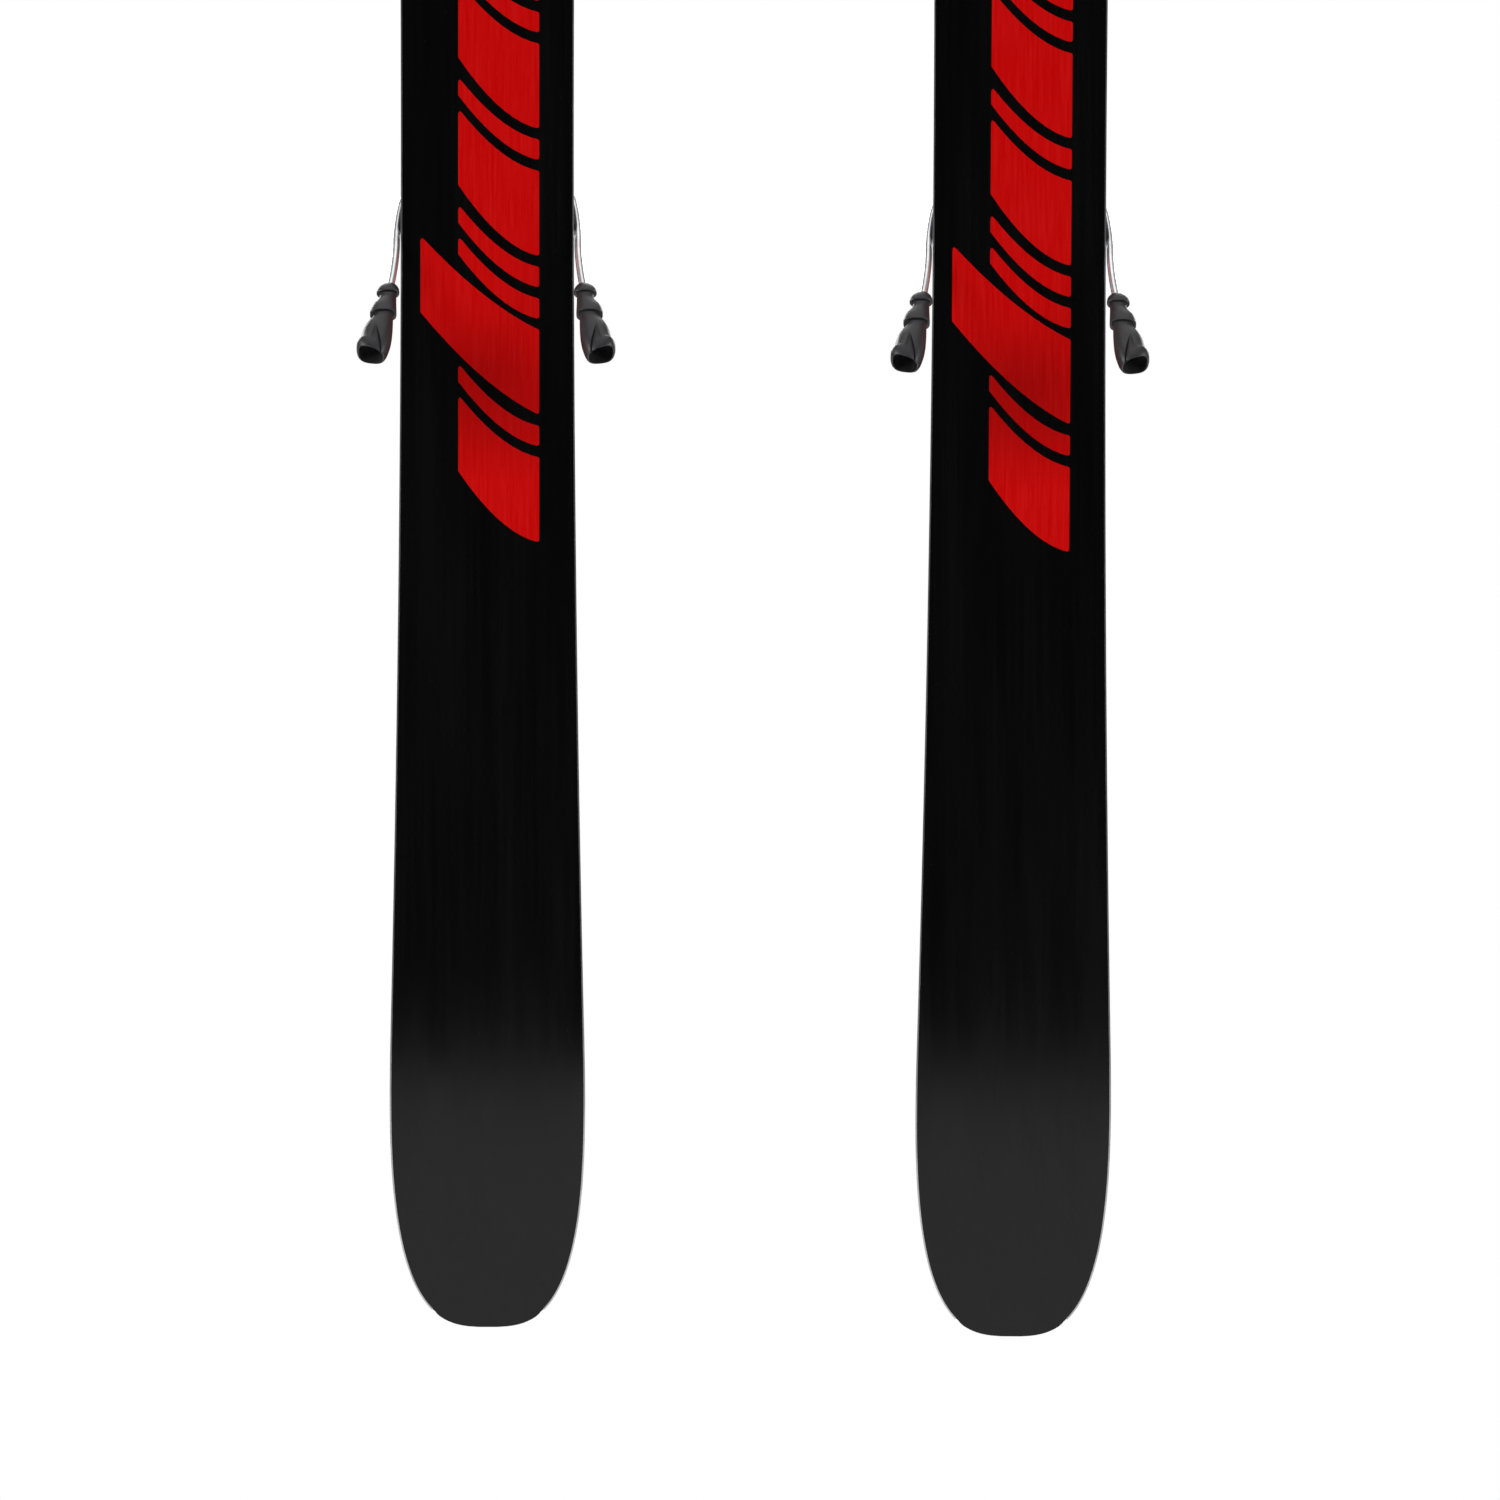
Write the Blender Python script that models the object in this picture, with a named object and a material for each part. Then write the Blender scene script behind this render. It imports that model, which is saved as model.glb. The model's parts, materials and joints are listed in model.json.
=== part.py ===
"""A pair of wide twin-tip alpine skis with step-in bindings, hanging upright side by side.

Frame: +Z runs from the tails to the tips, +Y from the running bases to the topsheets, +X across the
pair. The origin is the point midway between the two shovels where a rack holds the pair. Each ski is
built in its own frame, with z = 0 at its tail end and y = 0 on its running base, under an empty that
carries it to its place. At rest the bindings are open and the brakes are down.
"""
import math

import bmesh
import bpy
from mathutils import Vector

MM = 0.001

# The pair
HOLD_HEIGHT = 1.500
LEFT_SKI_X = -0.167
RIGHT_SKI_X = 0.1664
RIGHT_SKI_DROP = 0.006
RIGHT_SKI_LEAN = math.radians(0.4)

# Ski outline, seen on the base
SKI_LENGTH = 1.850
WAIST_AT = 0.750
WAIST_HALF = 0.055
TAIL_SIDECUT_RADIUS = 24.0
TIP_SIDECUT_RADIUS = 25.5
TAIL_CAP = 0.200
TIP_CAP = 0.260
TAIL_CAP_POWER = 3.0
TIP_CAP_POWER = 2.5
END_FLAT = 0.0005

# Ski side view
TAIL_ROCKER = 0.240
TAIL_RISE = 0.038
TIP_ROCKER = 0.400
TIP_RISE = 0.075
ROCKER_POWER = 2.2
DECK = 0.015
END_THICKNESS = 0.006
FULL_FROM, FULL_TO = 0.540, 1.110
THIN_BELOW, THIN_ABOVE = 0.080, 1.700

# Ski layers
GAP = 0.00015
BASE_THICKNESS = 0.0018
EDGE_WIDTH = 0.002
EDGE_HEIGHT = 0.002
EDGE_STOP = 0.011
SIDEWALL_FOOT = 0.0006
SIDEWALL_SHOULDER = 0.0022
SIDEWALL_INNER = 0.006
TOPSHEET_THICKNESS = 0.0008
TOPSHEET_BEVEL = 0.0010

# Binding heights over the deck, and places along the ski
SEAT = 0.0003
TOE_PIVOT_X = 0.0245
TOE_PIVOT_Z = 1.035
TOE_SPRING_HEIGHT = DECK + 0.024
AFD_Z = 0.965
AFD_TOP = DECK + 0.016
HEEL_PIN_Y = DECK + 0.034
HEEL_PIN_Z = 0.648
HEEL_OPEN = math.radians(30)
LEVER_TRAVEL = math.radians(15)
LEVER_HUB = (0.032, 0.002)
BRAKE_PIVOT_Y = DECK + 0.009
BRAKE_PIVOT_Z = 0.722
BRAKE_DROP = math.radians(40)
HEEL_PAD_TOP = DECK + 0.018

# Wire, springs and screws
WIRE_RADIUS = 0.0025
BORE_CLEARANCE = 0.0003
PIN_RADIUS = 0.0035
PIN_HEAD_RADIUS = 0.0050
PIN_HEAD = 0.0027
CRADLE_HALF = 0.0275
SPRING_WIRE_RADIUS = 0.0013
SCREW_SHANK_RADIUS = 0.00275
SCREW_DEPTH = 0.009
TOE_SCREWS = ((-0.029, 0.9975), (0.029, 0.9975))
HEEL_SCREWS = ((-0.024, 0.568), (0.024, 0.568))
TOE_PLATE_TOP = DECK + 0.0053
HEEL_TRACK_TOP = DECK + 0.0063

# Heights of the binding's parts above the tail's end
TOE_HOUSING_BACK = 1.014
TOE_HOUSING_FRONT = 1.086
TRACK_BACK = 0.560
TRACK_FRONT = 0.7025
BRAKE_BASE_BACK = 0.705
BRAKE_BASE_FRONT = 0.776

# Brake arm and foot, in millimetres in the brake's frame with the arms level.
# Each foot section: how far past the foot's top, its inner and outer side from the ski's middle, half height.
ARM_PATH = ((0, 0, 0), (25, 0, 0), (48.5, 0, 0), (53.2, 0, -1.2), (56.3, 0, -4.4), (57.5, 0, -9),
            (57.9, 0, -24), (57.9, 0, -42), (58.4, 0, -54), (59.2, 0, -63), (60.0, 0, -70), (60.9, 0, -76.4),
            (62.2, 0, -88))
FOOT_TOP = -78.4
FOOT_SECTIONS = (
    (0.0, 57.9, 65.0, 3.4), (1.5, 56.6, 67.4, 5.0), (4.0, 55.6, 69.3, 6.4), (8.0, 55.4, 70.0, 6.9),
    (10.2, 55.8, 69.8, 6.8), (10.6, 57.0, 68.6, 5.7), (14.5, 57.2, 68.6, 5.8), (20.0, 57.2, 72.2, 6.8),
    (24.0, 57.1, 73.4, 7.2), (27.8, 57.0, 73.9, 7.3), (28.3, 58.4, 72.3, 6.2), (31.0, 58.9, 72.9, 6.4),
    (36.0, 59.3, 76.4, 7.2), (46.0, 60.0, 79.6, 8.0), (54.0, 61.6, 82.0, 7.8), (58.0, 63.0, 82.0, 7.2),
    (60.5, 64.6, 81.0, 6.2))
FOOT_MOUTH = ((47.0, 68.6, 76.4, 2.2), (64.0, 66.0, 80.4, 4.4))


def clear_scene():
    for obj in list(bpy.data.objects):
        bpy.data.objects.remove(obj, do_unlink=True)


def material(name, color, roughness, metallic=0.0):
    made = bpy.data.materials.get(name) or bpy.data.materials.new(name)
    made.use_nodes = True
    made.diffuse_color = (*color, 1.0)
    shader = made.node_tree.nodes["Principled BSDF"]
    shader.inputs["Base Color"].default_value = (*color, 1.0)
    shader.inputs["Roughness"].default_value = roughness
    shader.inputs["Metallic"].default_value = metallic
    return made


def mm(points):
    return [tuple(value * MM for value in point) for point in points]


# Mesh tools

def place_on(axis, point, depth):
    """A point of a flat outline as a 3-D point. The outline is (y, z) for X, (x, z) for Y, (x, y) for Z."""
    if axis == "X":
        return (depth, point[0], point[1])
    if axis == "Y":
        return (point[0], depth, point[1])
    return (point[0], point[1], depth)


def loft(rings, closed=False):
    """A body through rings of equal length: capped at both ends, or run round into itself."""
    bm = bmesh.new()
    loops = [[bm.verts.new(point) for point in ring] for ring in rings]
    pairs = list(zip(loops, loops[1:]))
    if closed:
        pairs.append((loops[-1], loops[0]))
    else:
        bm.faces.new(loops[0])
        bm.faces.new(loops[-1])
    for lower, upper in pairs:
        for i in range(len(lower)):
            j = (i + 1) % len(lower)
            bm.faces.new((lower[i], lower[j], upper[j], upper[i]))
    return bm


def prism(axis, outline, low, high):
    return loft([[place_on(axis, point, depth) for point in outline] for depth in (low, high)])


def block(x_range, y_range, z_range):
    outline = [(x_range[0], y_range[0]), (x_range[1], y_range[0]),
               (x_range[1], y_range[1]), (x_range[0], y_range[1])]
    return prism("Z", outline, *z_range)


def turned(axis, centre, profile, sides=16):
    """A round body. The profile is a list of (distance along the axis, radius)."""
    rings = []
    for along, radius in profile:
        ring = []
        for k in range(sides):
            angle = 2 * math.pi * k / sides
            point = (centre[0] + radius * math.cos(angle), centre[1] + radius * math.sin(angle))
            ring.append(place_on(axis, point, along))
        rings.append(ring)
    return loft(rings)


def tube(path, radius, sides):
    """A round wire along a path of points."""
    points = [Vector(point) for point in path]
    across = None
    rings = []
    for i, point in enumerate(points):
        along = (points[min(i + 1, len(points) - 1)] - points[max(i - 1, 0)]).normalized()
        if across is None:
            across = along.orthogonal()
        across = (across - along * across.dot(along)).normalized()
        other = along.cross(across)
        angles = [2 * math.pi * k / sides for k in range(sides)]
        rings.append([point + radius * (across * math.cos(a) + other * math.sin(a)) for a in angles])
    return loft(rings)


def coil(centre, start, end, radius, turns, steps=9):
    """The path of a coil spring along Z."""
    count = turns * steps
    path = []
    for k in range(count + 1):
        angle = 2 * math.pi * k / steps
        path.append((centre[0] + radius * math.cos(angle), centre[1] + radius * math.sin(angle),
                     start + (end - start) * k / count))
    return path


def rounded(outline, radius, steps=3):
    """A flat outline with each corner replaced by an arc."""
    points = [Vector(point) for point in outline]
    found = []
    for i, corner in enumerate(points):
        back = (points[i - 1] - corner)
        ahead = (points[(i + 1) % len(points)] - corner)
        half = back.angle(ahead) / 2
        reach = min(radius / math.tan(half), back.length * 0.45, ahead.length * 0.45)
        start = corner + back.normalized() * reach
        end = corner + ahead.normalized() * reach
        for k in range(steps + 1):
            t = k / steps
            found.append(tuple(start * (1 - t) ** 2 + corner * 2 * t * (1 - t) + end * t ** 2))
    return found


def add(name, bm, finish, parent, pivot=(0.0, 0.0, 0.0)):
    """Turns a bmesh into a named object with its origin at the pivot, given in the parent's frame."""
    bmesh.ops.recalc_face_normals(bm, faces=bm.faces)
    bmesh.ops.translate(bm, vec=-Vector(pivot), verts=bm.verts)
    mesh = bpy.data.meshes.new(name)
    bm.to_mesh(mesh)
    bm.free()
    mesh.shade_smooth()
    mesh.set_sharp_from_angle(angle=math.radians(35))
    obj = bpy.data.objects.new(name, mesh)
    bpy.context.scene.collection.objects.link(obj)
    obj.parent = parent
    obj.location = pivot
    if finish:
        mesh.materials.append(finish)
    return obj


def empty(name, location, rotation=(0.0, 0.0, 0.0), parent=None):
    made = bpy.data.objects.new(name, None)
    bpy.context.scene.collection.objects.link(made)
    made.location = location
    made.rotation_euler = rotation
    made.parent = parent
    made.empty_display_size = 0.02
    return made


def helper(name, bm, parent):
    """A hidden solid that a Boolean joins or cuts with."""
    made = add(name, bm, None, parent)
    made.hide_render = True
    made.display_type = "WIRE"
    return made


def boolean(obj, other, operation):
    modifier = obj.modifiers.new(operation.lower(), "BOOLEAN")
    modifier.operation = operation
    modifier.solver = "EXACT"
    modifier.object = other


def cut(obj, other):
    boolean(obj, other, "DIFFERENCE")


def join(obj, other):
    boolean(obj, other, "UNION")


# The ski's shape

def half_width(z):
    """Half the ski's width at z: a sidecut arc that ends in a blunt rounded cap."""
    if z < WAIST_AT:
        radius, power, cap, from_end = TAIL_SIDECUT_RADIUS, TAIL_CAP_POWER, TAIL_CAP, z
    else:
        radius, power, cap, from_end = TIP_SIDECUT_RADIUS, TIP_CAP_POWER, TIP_CAP, SKI_LENGTH - z
    side = WAIST_HALF + (z - WAIST_AT) ** 2 / (2 * radius)
    inside = max(0.0, 1 - max(from_end, END_FLAT) / cap)
    return side * (1 - inside ** power) ** (1 / power)


def base_height(z):
    """How far the running base rises away from the snow: zero underfoot, rockered at both ends."""
    tail = max(0.0, 1 - z / TAIL_ROCKER)
    tip = max(0.0, 1 - (SKI_LENGTH - z) / TIP_ROCKER)
    return TAIL_RISE * tail ** ROCKER_POWER + TIP_RISE * tip ** ROCKER_POWER


def ease(share):
    share = min(max(share, 0.0), 1.0)
    return share * share * (3 - 2 * share)


def thickness(z):
    """Full under the binding, thinning to the ends."""
    tail = ease((z - THIN_BELOW) / (FULL_FROM - THIN_BELOW))
    tip = ease((THIN_ABOVE - z) / (THIN_ABOVE - FULL_TO))
    return END_THICKNESS + (DECK - END_THICKNESS) * min(tail, tip)


def top_height(z):
    return base_height(z) + thickness(z)


def stations():
    """Heights of the sections: close together in the round ends, sparse between them."""
    cap_steps = 10
    middle_steps = 17
    edge_ends = [EDGE_STOP - 2 * GAP, EDGE_STOP]
    found = edge_ends + [SKI_LENGTH - z for z in edge_ends]
    for k in range(cap_steps + 1):
        found.append(TAIL_CAP * (k / cap_steps) ** 2)
        found.append(SKI_LENGTH - TIP_CAP * (k / cap_steps) ** 2)
    for k in range(1, middle_steps):
        found.append(TAIL_CAP + (SKI_LENGTH - TIP_CAP - TAIL_CAP) * k / middle_steps)
    return sorted(found)


def side_line(inset=0.0):
    """The right-hand outline as (x, z) points, moved inwards with mitred corners."""
    side = [Vector((half_width(z), z)) for z in stations()]
    moved = []
    for i, point in enumerate(side):
        before = (point - side[i - 1]).normalized() if i else Vector((1, 0))
        after = (side[i + 1] - point).normalized() if i + 1 < len(side) else Vector((-1, 0))
        normals = [Vector((-along.y, along.x)) for along in (before, after)]
        moved.append(point + (normals[0] + normals[1]) * inset / (1 + normals[0].dot(normals[1])))
    return moved


def edge_range():
    """The first and last station that the steel edges reach."""
    heights = stations()
    return heights.index(EDGE_STOP), heights.index(SKI_LENGTH - EDGE_STOP)


def full_layer(low_side, high_side, low, high):
    """A sheet as wide as the outline, between two heights over the snow that vary along the ski."""
    rings = []
    for below, above in zip(low_side, high_side):
        rings.append([(-below.x, low(below.y), below.y), (below.x, low(below.y), below.y),
                      (above.x, high(above.y), above.y), (-above.x, high(above.y), above.y)])
    return loft(rings)


def ski_base(name, ski):
    first, last = edge_range()
    outer = side_line()
    inner = side_line(EDGE_WIDTH + GAP)
    side = outer[:first] + inner[first:last + 1] + outer[last + 1:]
    bm = full_layer(side, side, base_height, lambda z: base_height(z) + BASE_THICKNESS)
    return add(name + "base", bm, material("base_black", (0.012, 0.012, 0.013), 0.32), ski)


def ski_edge(name, sign, ski):
    first, last = edge_range()
    outer = side_line()
    inner = side_line(EDGE_WIDTH)
    rings = []
    for out, into in zip(outer[first:last + 1], inner[first:last + 1]):
        rings.append([(sign * out.x, base_height(out.y), out.y),
                      (sign * out.x, base_height(out.y) + EDGE_HEIGHT, out.y),
                      (sign * into.x, base_height(into.y) + EDGE_HEIGHT, into.y),
                      (sign * into.x, base_height(into.y), into.y)])
    return add(name, loft(rings), material("edge_steel", (0.42, 0.43, 0.44), 0.28, 1.0), ski)


def under_core(z):
    return base_height(z) + EDGE_HEIGHT + GAP


def over_core(z):
    return top_height(z) - TOPSHEET_THICKNESS - GAP


def ski_core(name, ski):
    side = side_line(SIDEWALL_INNER + GAP)
    bm = full_layer(side, side, under_core, over_core)
    return add(name + "core", bm, material("core_wood", (0.55, 0.38, 0.20), 0.6), ski)


def ski_sidewall(name, ski):
    """One strip that runs round the whole ski, over the edges and under the topsheet."""
    foot = side_line(SIDEWALL_FOOT)
    shoulder = side_line(SIDEWALL_SHOULDER)
    inner = side_line(SIDEWALL_INNER)
    right = []
    for low, high, into in zip(foot, shoulder, inner):
        right.append([(low.x, under_core(low.y), low.y), (high.x, over_core(high.y), high.y),
                      (into.x, over_core(into.y), into.y), (into.x, under_core(into.y), into.y)])
    left = [[(-x, y, z) for x, y, z in ring] for ring in reversed(right)]
    finish = material("sidewall_black", (0.02, 0.02, 0.021), 0.45)
    return add(name + "sidewall", loft(right + left, closed=True), finish, ski)


def ski_topsheet(name, ski):
    low_side = side_line(SIDEWALL_SHOULDER)
    high_side = side_line(SIDEWALL_SHOULDER + TOPSHEET_BEVEL)
    bm = full_layer(low_side, high_side, lambda z: over_core(z) + GAP, top_height)
    return add(name + "topsheet", bm, material("topsheet_graphite", (0.05, 0.05, 0.055), 0.35), ski)


def ski_body(name, ski):
    """The laminated ski. Returns the two layers that the mounting screws enter."""
    ski_base(name, ski)
    ski_edge(name + "edge_left", -1, ski)
    ski_edge(name + "edge_right", 1, ski)
    ski_sidewall(name, ski)
    return ski_core(name, ski), ski_topsheet(name, ski)


def mounting_screw(name, spot, seat, drilled, ski):
    """A countersunk-style screw through a plate, the topsheet and into the core."""
    x, z = spot
    profile = [(DECK - SCREW_DEPTH, 0.0012), (DECK - SCREW_DEPTH + 0.003, SCREW_SHANK_RADIUS),
               (seat + SEAT, SCREW_SHANK_RADIUS), (seat + SEAT, 0.0045),
               (seat + 0.0018, 0.0045), (seat + 0.0026, 0.0032)]
    steel = material("screw_steel", (0.35, 0.35, 0.36), 0.3, 1.0)
    add(name, turned("Y", (x, z), profile, sides=10), steel, ski)
    hole = [(DECK - SCREW_DEPTH - 0.0004, SCREW_SHANK_RADIUS + BORE_CLEARANCE),
            (seat + 0.004, SCREW_SHANK_RADIUS + BORE_CLEARANCE)]
    cutter = helper(name + "_hole", turned("Y", (x, z), hole, sides=10), ski)
    for obj in drilled:
        cut(obj, cutter)


# Toe piece

def toe_base_plate(name, ski):
    outline = rounded(mm([(-39, 945), (39, 945), (39, 1070), (26, 1092), (-26, 1092), (-39, 1070)]), 0.008)
    plastic = material("binding_black", (0.02, 0.02, 0.02), 0.42)
    return add(name + "toe_base_plate", prism("Y", outline, DECK + SEAT, TOE_PLATE_TOP), plastic, ski)


def crowned_roof():
    """The roof's plan, drawn in towards its middle as it rises."""
    plan = rounded(mm([(-35, 1018), (35, 1018), (31, 1062), (15, 1088), (-15, 1088), (-31, 1062)]), 0.010)
    middle = 1.046
    rings = []
    for height, size in ((41.6, 1.0), (45.0, 1.0), (47.2, 0.95), (48.8, 0.84), (49.6, 0.70)):
        y = DECK + height * MM
        rings.append([(x * size, y, middle + (z - middle) * size) for x, z in plan])
    return loft(rings)


def toe_housing(name, ski):
    """A central barrel with a roof over the wing pivots, bored from the front for the spring."""
    bottom = TOE_PLATE_TOP + SEAT
    back, front = TOE_HOUSING_BACK, TOE_HOUSING_FRONT
    barrel = [(bottom, back), (bottom, front), (DECK + 0.030, front + 0.003), (DECK + 0.044, front - 0.008),
              (DECK + 0.044, back)]
    shell = material("binding_red", (0.45, 0.012, 0.012), 0.35)
    obj = add(name + "toe_housing", prism("X", rounded(barrel, 0.004), -0.0150, 0.0150), shell, ski)
    join(obj, helper(name + "toe_roof_shape", crowned_roof(), ski))
    bore = [(1.030, 0.0095), (1.120, 0.0095)]
    cut(obj, helper(name + "toe_bore_shape", turned("Z", (0.0, TOE_SPRING_HEIGHT), bore, sides=16), ski))
    return obj


def toe_wing(name, sign, ski):
    """A post on its pivot with an arm beside the boot's toe and a lip over its sole."""
    pivot = (sign * TOE_PIVOT_X, DECK + 0.024, TOE_PIVOT_Z)

    def plan(points):
        return [(pivot[0] + sign * x * MM, pivot[2] + z * MM) for x, z in points]

    post = [(DECK + 0.0060, 0.007), (DECK + 0.0411, 0.007)]
    black = material("binding_black", (0.02, 0.02, 0.02), 0.42)
    obj = add(name, turned("Y", (pivot[0], pivot[2]), post, sides=14), black, ski, pivot)
    arm = plan([(-1, 2), (2, -12), (4, -30), (8, -48), (15, -50), (15, -30), (11, -8), (5, 3)])
    arm = rounded(arm, 0.003, 2)
    join(obj, helper(name + "_arm_shape", prism("Y", arm, DECK + 0.018, DECK + 0.0409), ski))
    lip = rounded(plan([(8, -12), (-1, -14), (-2, -26), (3, -47), (12, -49), (11, -30)]), 0.003, 2)
    join(obj, helper(name + "_lip_shape", prism("Y", lip, DECK + 0.0355, DECK + 0.0406), ski))
    return obj


def toe_release_parts(name, ski):
    steel = material("spring_steel", (0.50, 0.50, 0.50), 0.3, 1.0)
    centre = (0.0, TOE_SPRING_HEIGHT)
    path = coil(centre, 1.0425, 1.0705, 0.0072, turns=5)
    add(name + "toe_spring", tube(path, SPRING_WIRE_RADIUS, 5), steel, ski)
    piston = [(1.0305, 0.0090), (1.0385, 0.0090), (1.0385, 0.0050), (1.0405, 0.0050)]
    add(name + "toe_piston", turned("Z", centre, piston, sides=14), steel, ski)
    brass = material("adjuster_brass", (0.62, 0.48, 0.22), 0.3, 1.0)
    adjuster = [(1.0725, 0.0090), (1.0860, 0.0090), (1.0875, 0.0075)]
    pivot = (0.0, TOE_SPRING_HEIGHT, 1.080)
    obj = add(name + "toe_adjust_screw", turned("Z", centre, adjuster, sides=16), brass, ski, pivot)
    slot = block((-0.0065, 0.0065), (centre[1] - 0.0009, centre[1] + 0.0009), (1.0850, 1.0900))
    cut(obj, helper(name + "toe_slot_shape", slot, ski))


def afd_plate(name, ski):
    """The low-friction plate under the boot's toe, which slides sideways."""
    half = 0.019
    bottom = TOE_PLATE_TOP + SEAT
    outline = rounded([(-0.031, bottom), (0.031, bottom), (0.031, AFD_TOP - 0.004),
                       (0.027, AFD_TOP), (-0.027, AFD_TOP), (-0.031, AFD_TOP - 0.004)], 0.0015, 2)
    finish = material("afd_grey", (0.32, 0.33, 0.34), 0.25)
    return add(name + "afd_plate", prism("Z", outline, AFD_Z - half, AFD_Z + half), finish, ski,
               (0.0, bottom, AFD_Z))


def toe_piece(name, ski):
    plate = toe_base_plate(name, ski)
    toe_housing(name, ski)
    toe_wing(name + "toe_wing_left", -1, ski)
    toe_wing(name + "toe_wing_right", 1, ski)
    toe_release_parts(name, ski)
    afd_plate(name, ski)
    return plate


# Heel piece. Pieces that turn with the cup are built closed, about the pin, and opened by their empty.

def heel_track(name, ski):
    section = [(-0.031, DECK + SEAT), (0.031, DECK + SEAT), (0.031, DECK + 0.0043),
               (0.027, HEEL_TRACK_TOP), (-0.027, HEEL_TRACK_TOP), (-0.031, DECK + 0.0043)]
    steel = material("track_steel", (0.30, 0.30, 0.31), 0.35, 1.0)
    return add(name + "heel_track", prism("Z", section, TRACK_BACK, TRACK_FRONT), steel, ski)


def heel_carriage(name, ski):
    """A cradle that slides on the track, with two ears for the pin."""
    floor = HEEL_TRACK_TOP + SEAT
    y, z = HEEL_PIN_Y, HEEL_PIN_Z
    ears = [(floor, z - 0.045), (floor, z + 0.020), (y - 0.018, z + 0.020), (y + 0.003, z + 0.011),
            (y + 0.010, z + 0.004), (y + 0.010, z - 0.005), (y, z - 0.012), (y - 0.018, z - 0.045)]
    black = material("binding_black", (0.02, 0.02, 0.02), 0.42)
    cradle = prism("X", rounded(ears, 0.004), -CRADLE_HALF, CRADLE_HALF)
    obj = add(name + "heel_carriage", cradle, black, ski, (0.0, y, z))
    slot = block((-0.0208, 0.0208), (DECK + 0.0116, y + 0.030), (z - 0.070, z + 0.040))
    cut(obj, helper(name + "heel_slot_shape", slot, ski))
    hole = [(-0.050, PIN_RADIUS + BORE_CLEARANCE), (0.050, PIN_RADIUS + BORE_CLEARANCE)]
    cut(obj, helper(name + "heel_ear_bore_shape", turned("X", (y, z), hole, sides=12), ski))
    head = CRADLE_HALF + SEAT
    end = head + PIN_HEAD
    pin = [(-end, PIN_HEAD_RADIUS), (-head, PIN_HEAD_RADIUS), (-head, PIN_RADIUS), (head, PIN_RADIUS),
           (head, PIN_HEAD_RADIUS), (end, PIN_HEAD_RADIUS)]
    steel = material("screw_steel", (0.35, 0.35, 0.36), 0.3, 1.0)
    add(name + "heel_pivot_pin", turned("X", (y, z), pin, sides=12), steel, ski)


def cup_block():
    """The cup before it is hollowed: its section shrinks towards both sides, which rounds its shoulders."""
    section = rounded(mm([(-12, 24), (-12, 56), (17, 57), (24, 51), (27, 40), (27, 24)]), 0.004)
    middle = (0.007, 0.041)
    rings = []
    for x, size in ((33.5, 0.80), (32.6, 0.88), (30.5, 0.95), (27, 1.0)):
        rings.append([(x * MM, middle[0] + (y - middle[0]) * size, middle[1] + (z - middle[1]) * size)
                      for y, z in section])
    mirrored = [[(-x, y, z) for x, y, z in ring] for ring in reversed(rings)]
    return loft(rings + mirrored)


def heel_housing(name, pivot):
    """The cup over the boot's heel, with the tread that the heel steps on and the spring's barrel."""
    barrel = mm([(4, -42), (25, -41), (27, -36), (27, -6), (36, -2), (36, 6), (27, 11), (27, 26), (10, 38),
                 (-16, 38), (-17.5, 52), (-21.5, 52), (-21.5, 28), (-10, 20), (-12, 0), (-8, -14), (2, -30)])
    shell = material("binding_red", (0.45, 0.012, 0.012), 0.35)
    obj = add(name + "heel_housing", prism("X", rounded(barrel, 0.0025, 2), -0.0200, 0.0200), shell, pivot)
    join(obj, helper(name + "heel_cup_shape", cup_block(), pivot))
    hollow = turned("Y", (0.0, 0.078), [(-0.014, 0.036), (0.0140, 0.036)], sides=32)
    cut(obj, helper(name + "heel_hollow_shape", hollow, pivot))
    bore = turned("Z", (0.0, 0.0150), [(-0.060, 0.0090), (0.018, 0.0090)], sides=16)
    cut(obj, helper(name + "heel_bore_shape", bore, pivot))
    pin = [(-0.050, PIN_RADIUS + BORE_CLEARANCE), (0.050, PIN_RADIUS + BORE_CLEARANCE)]
    cut(obj, helper(name + "heel_pin_bore_shape", turned("X", (0.0, 0.0), pin, sides=12), pivot))
    slot = block((-0.0165, 0.0165), (0.0258, 0.0450), (-0.009, 0.013))
    cut(obj, helper(name + "heel_lug_slot_shape", slot, pivot))


def heel_lever(name, pivot):
    """The opening lever on top of the housing, with a dish for the pole's tip."""
    location = (0.0, *LEVER_HUB)
    outline = rounded(mm([(-4, 0), (-3, -7), (22, -62), (27, -68), (31, -64), (31, -58), (10, -8), (4, 1),
                          (2, 4), (-2, 4)]), 0.002, 2)
    black = material("binding_black", (0.02, 0.02, 0.02), 0.42)
    obj = add(name + "heel_lever", prism("X", outline, -0.0160, 0.0160), black, pivot)
    obj.location = location
    obj.rotation_euler = (-LEVER_TRAVEL, 0.0, 0.0)
    return obj


def heel_release_parts(name, pivot):
    steel = material("spring_steel", (0.50, 0.50, 0.50), 0.3, 1.0)
    centre = (0.0, 0.0150)
    add(name + "heel_spring", tube(coil(centre, -0.031, 0.016, 0.0068, turns=6), 0.0015, 5), steel, pivot)
    brass = material("adjuster_brass", (0.62, 0.48, 0.22), 0.3, 1.0)
    adjuster = [(-0.0405, 0.0070), (-0.0390, 0.0085), (-0.0330, 0.0085)]
    obj = add(name + "heel_adjust_screw", turned("Z", centre, adjuster, sides=16), brass, pivot,
              (0.0, centre[1], -0.036))
    slot = block((-0.0060, 0.0060), (centre[1] - 0.0009, centre[1] + 0.0009), (-0.0450, -0.0390))
    cut(obj, helper(name + "heel_screw_slot_shape", slot, pivot))


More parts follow.
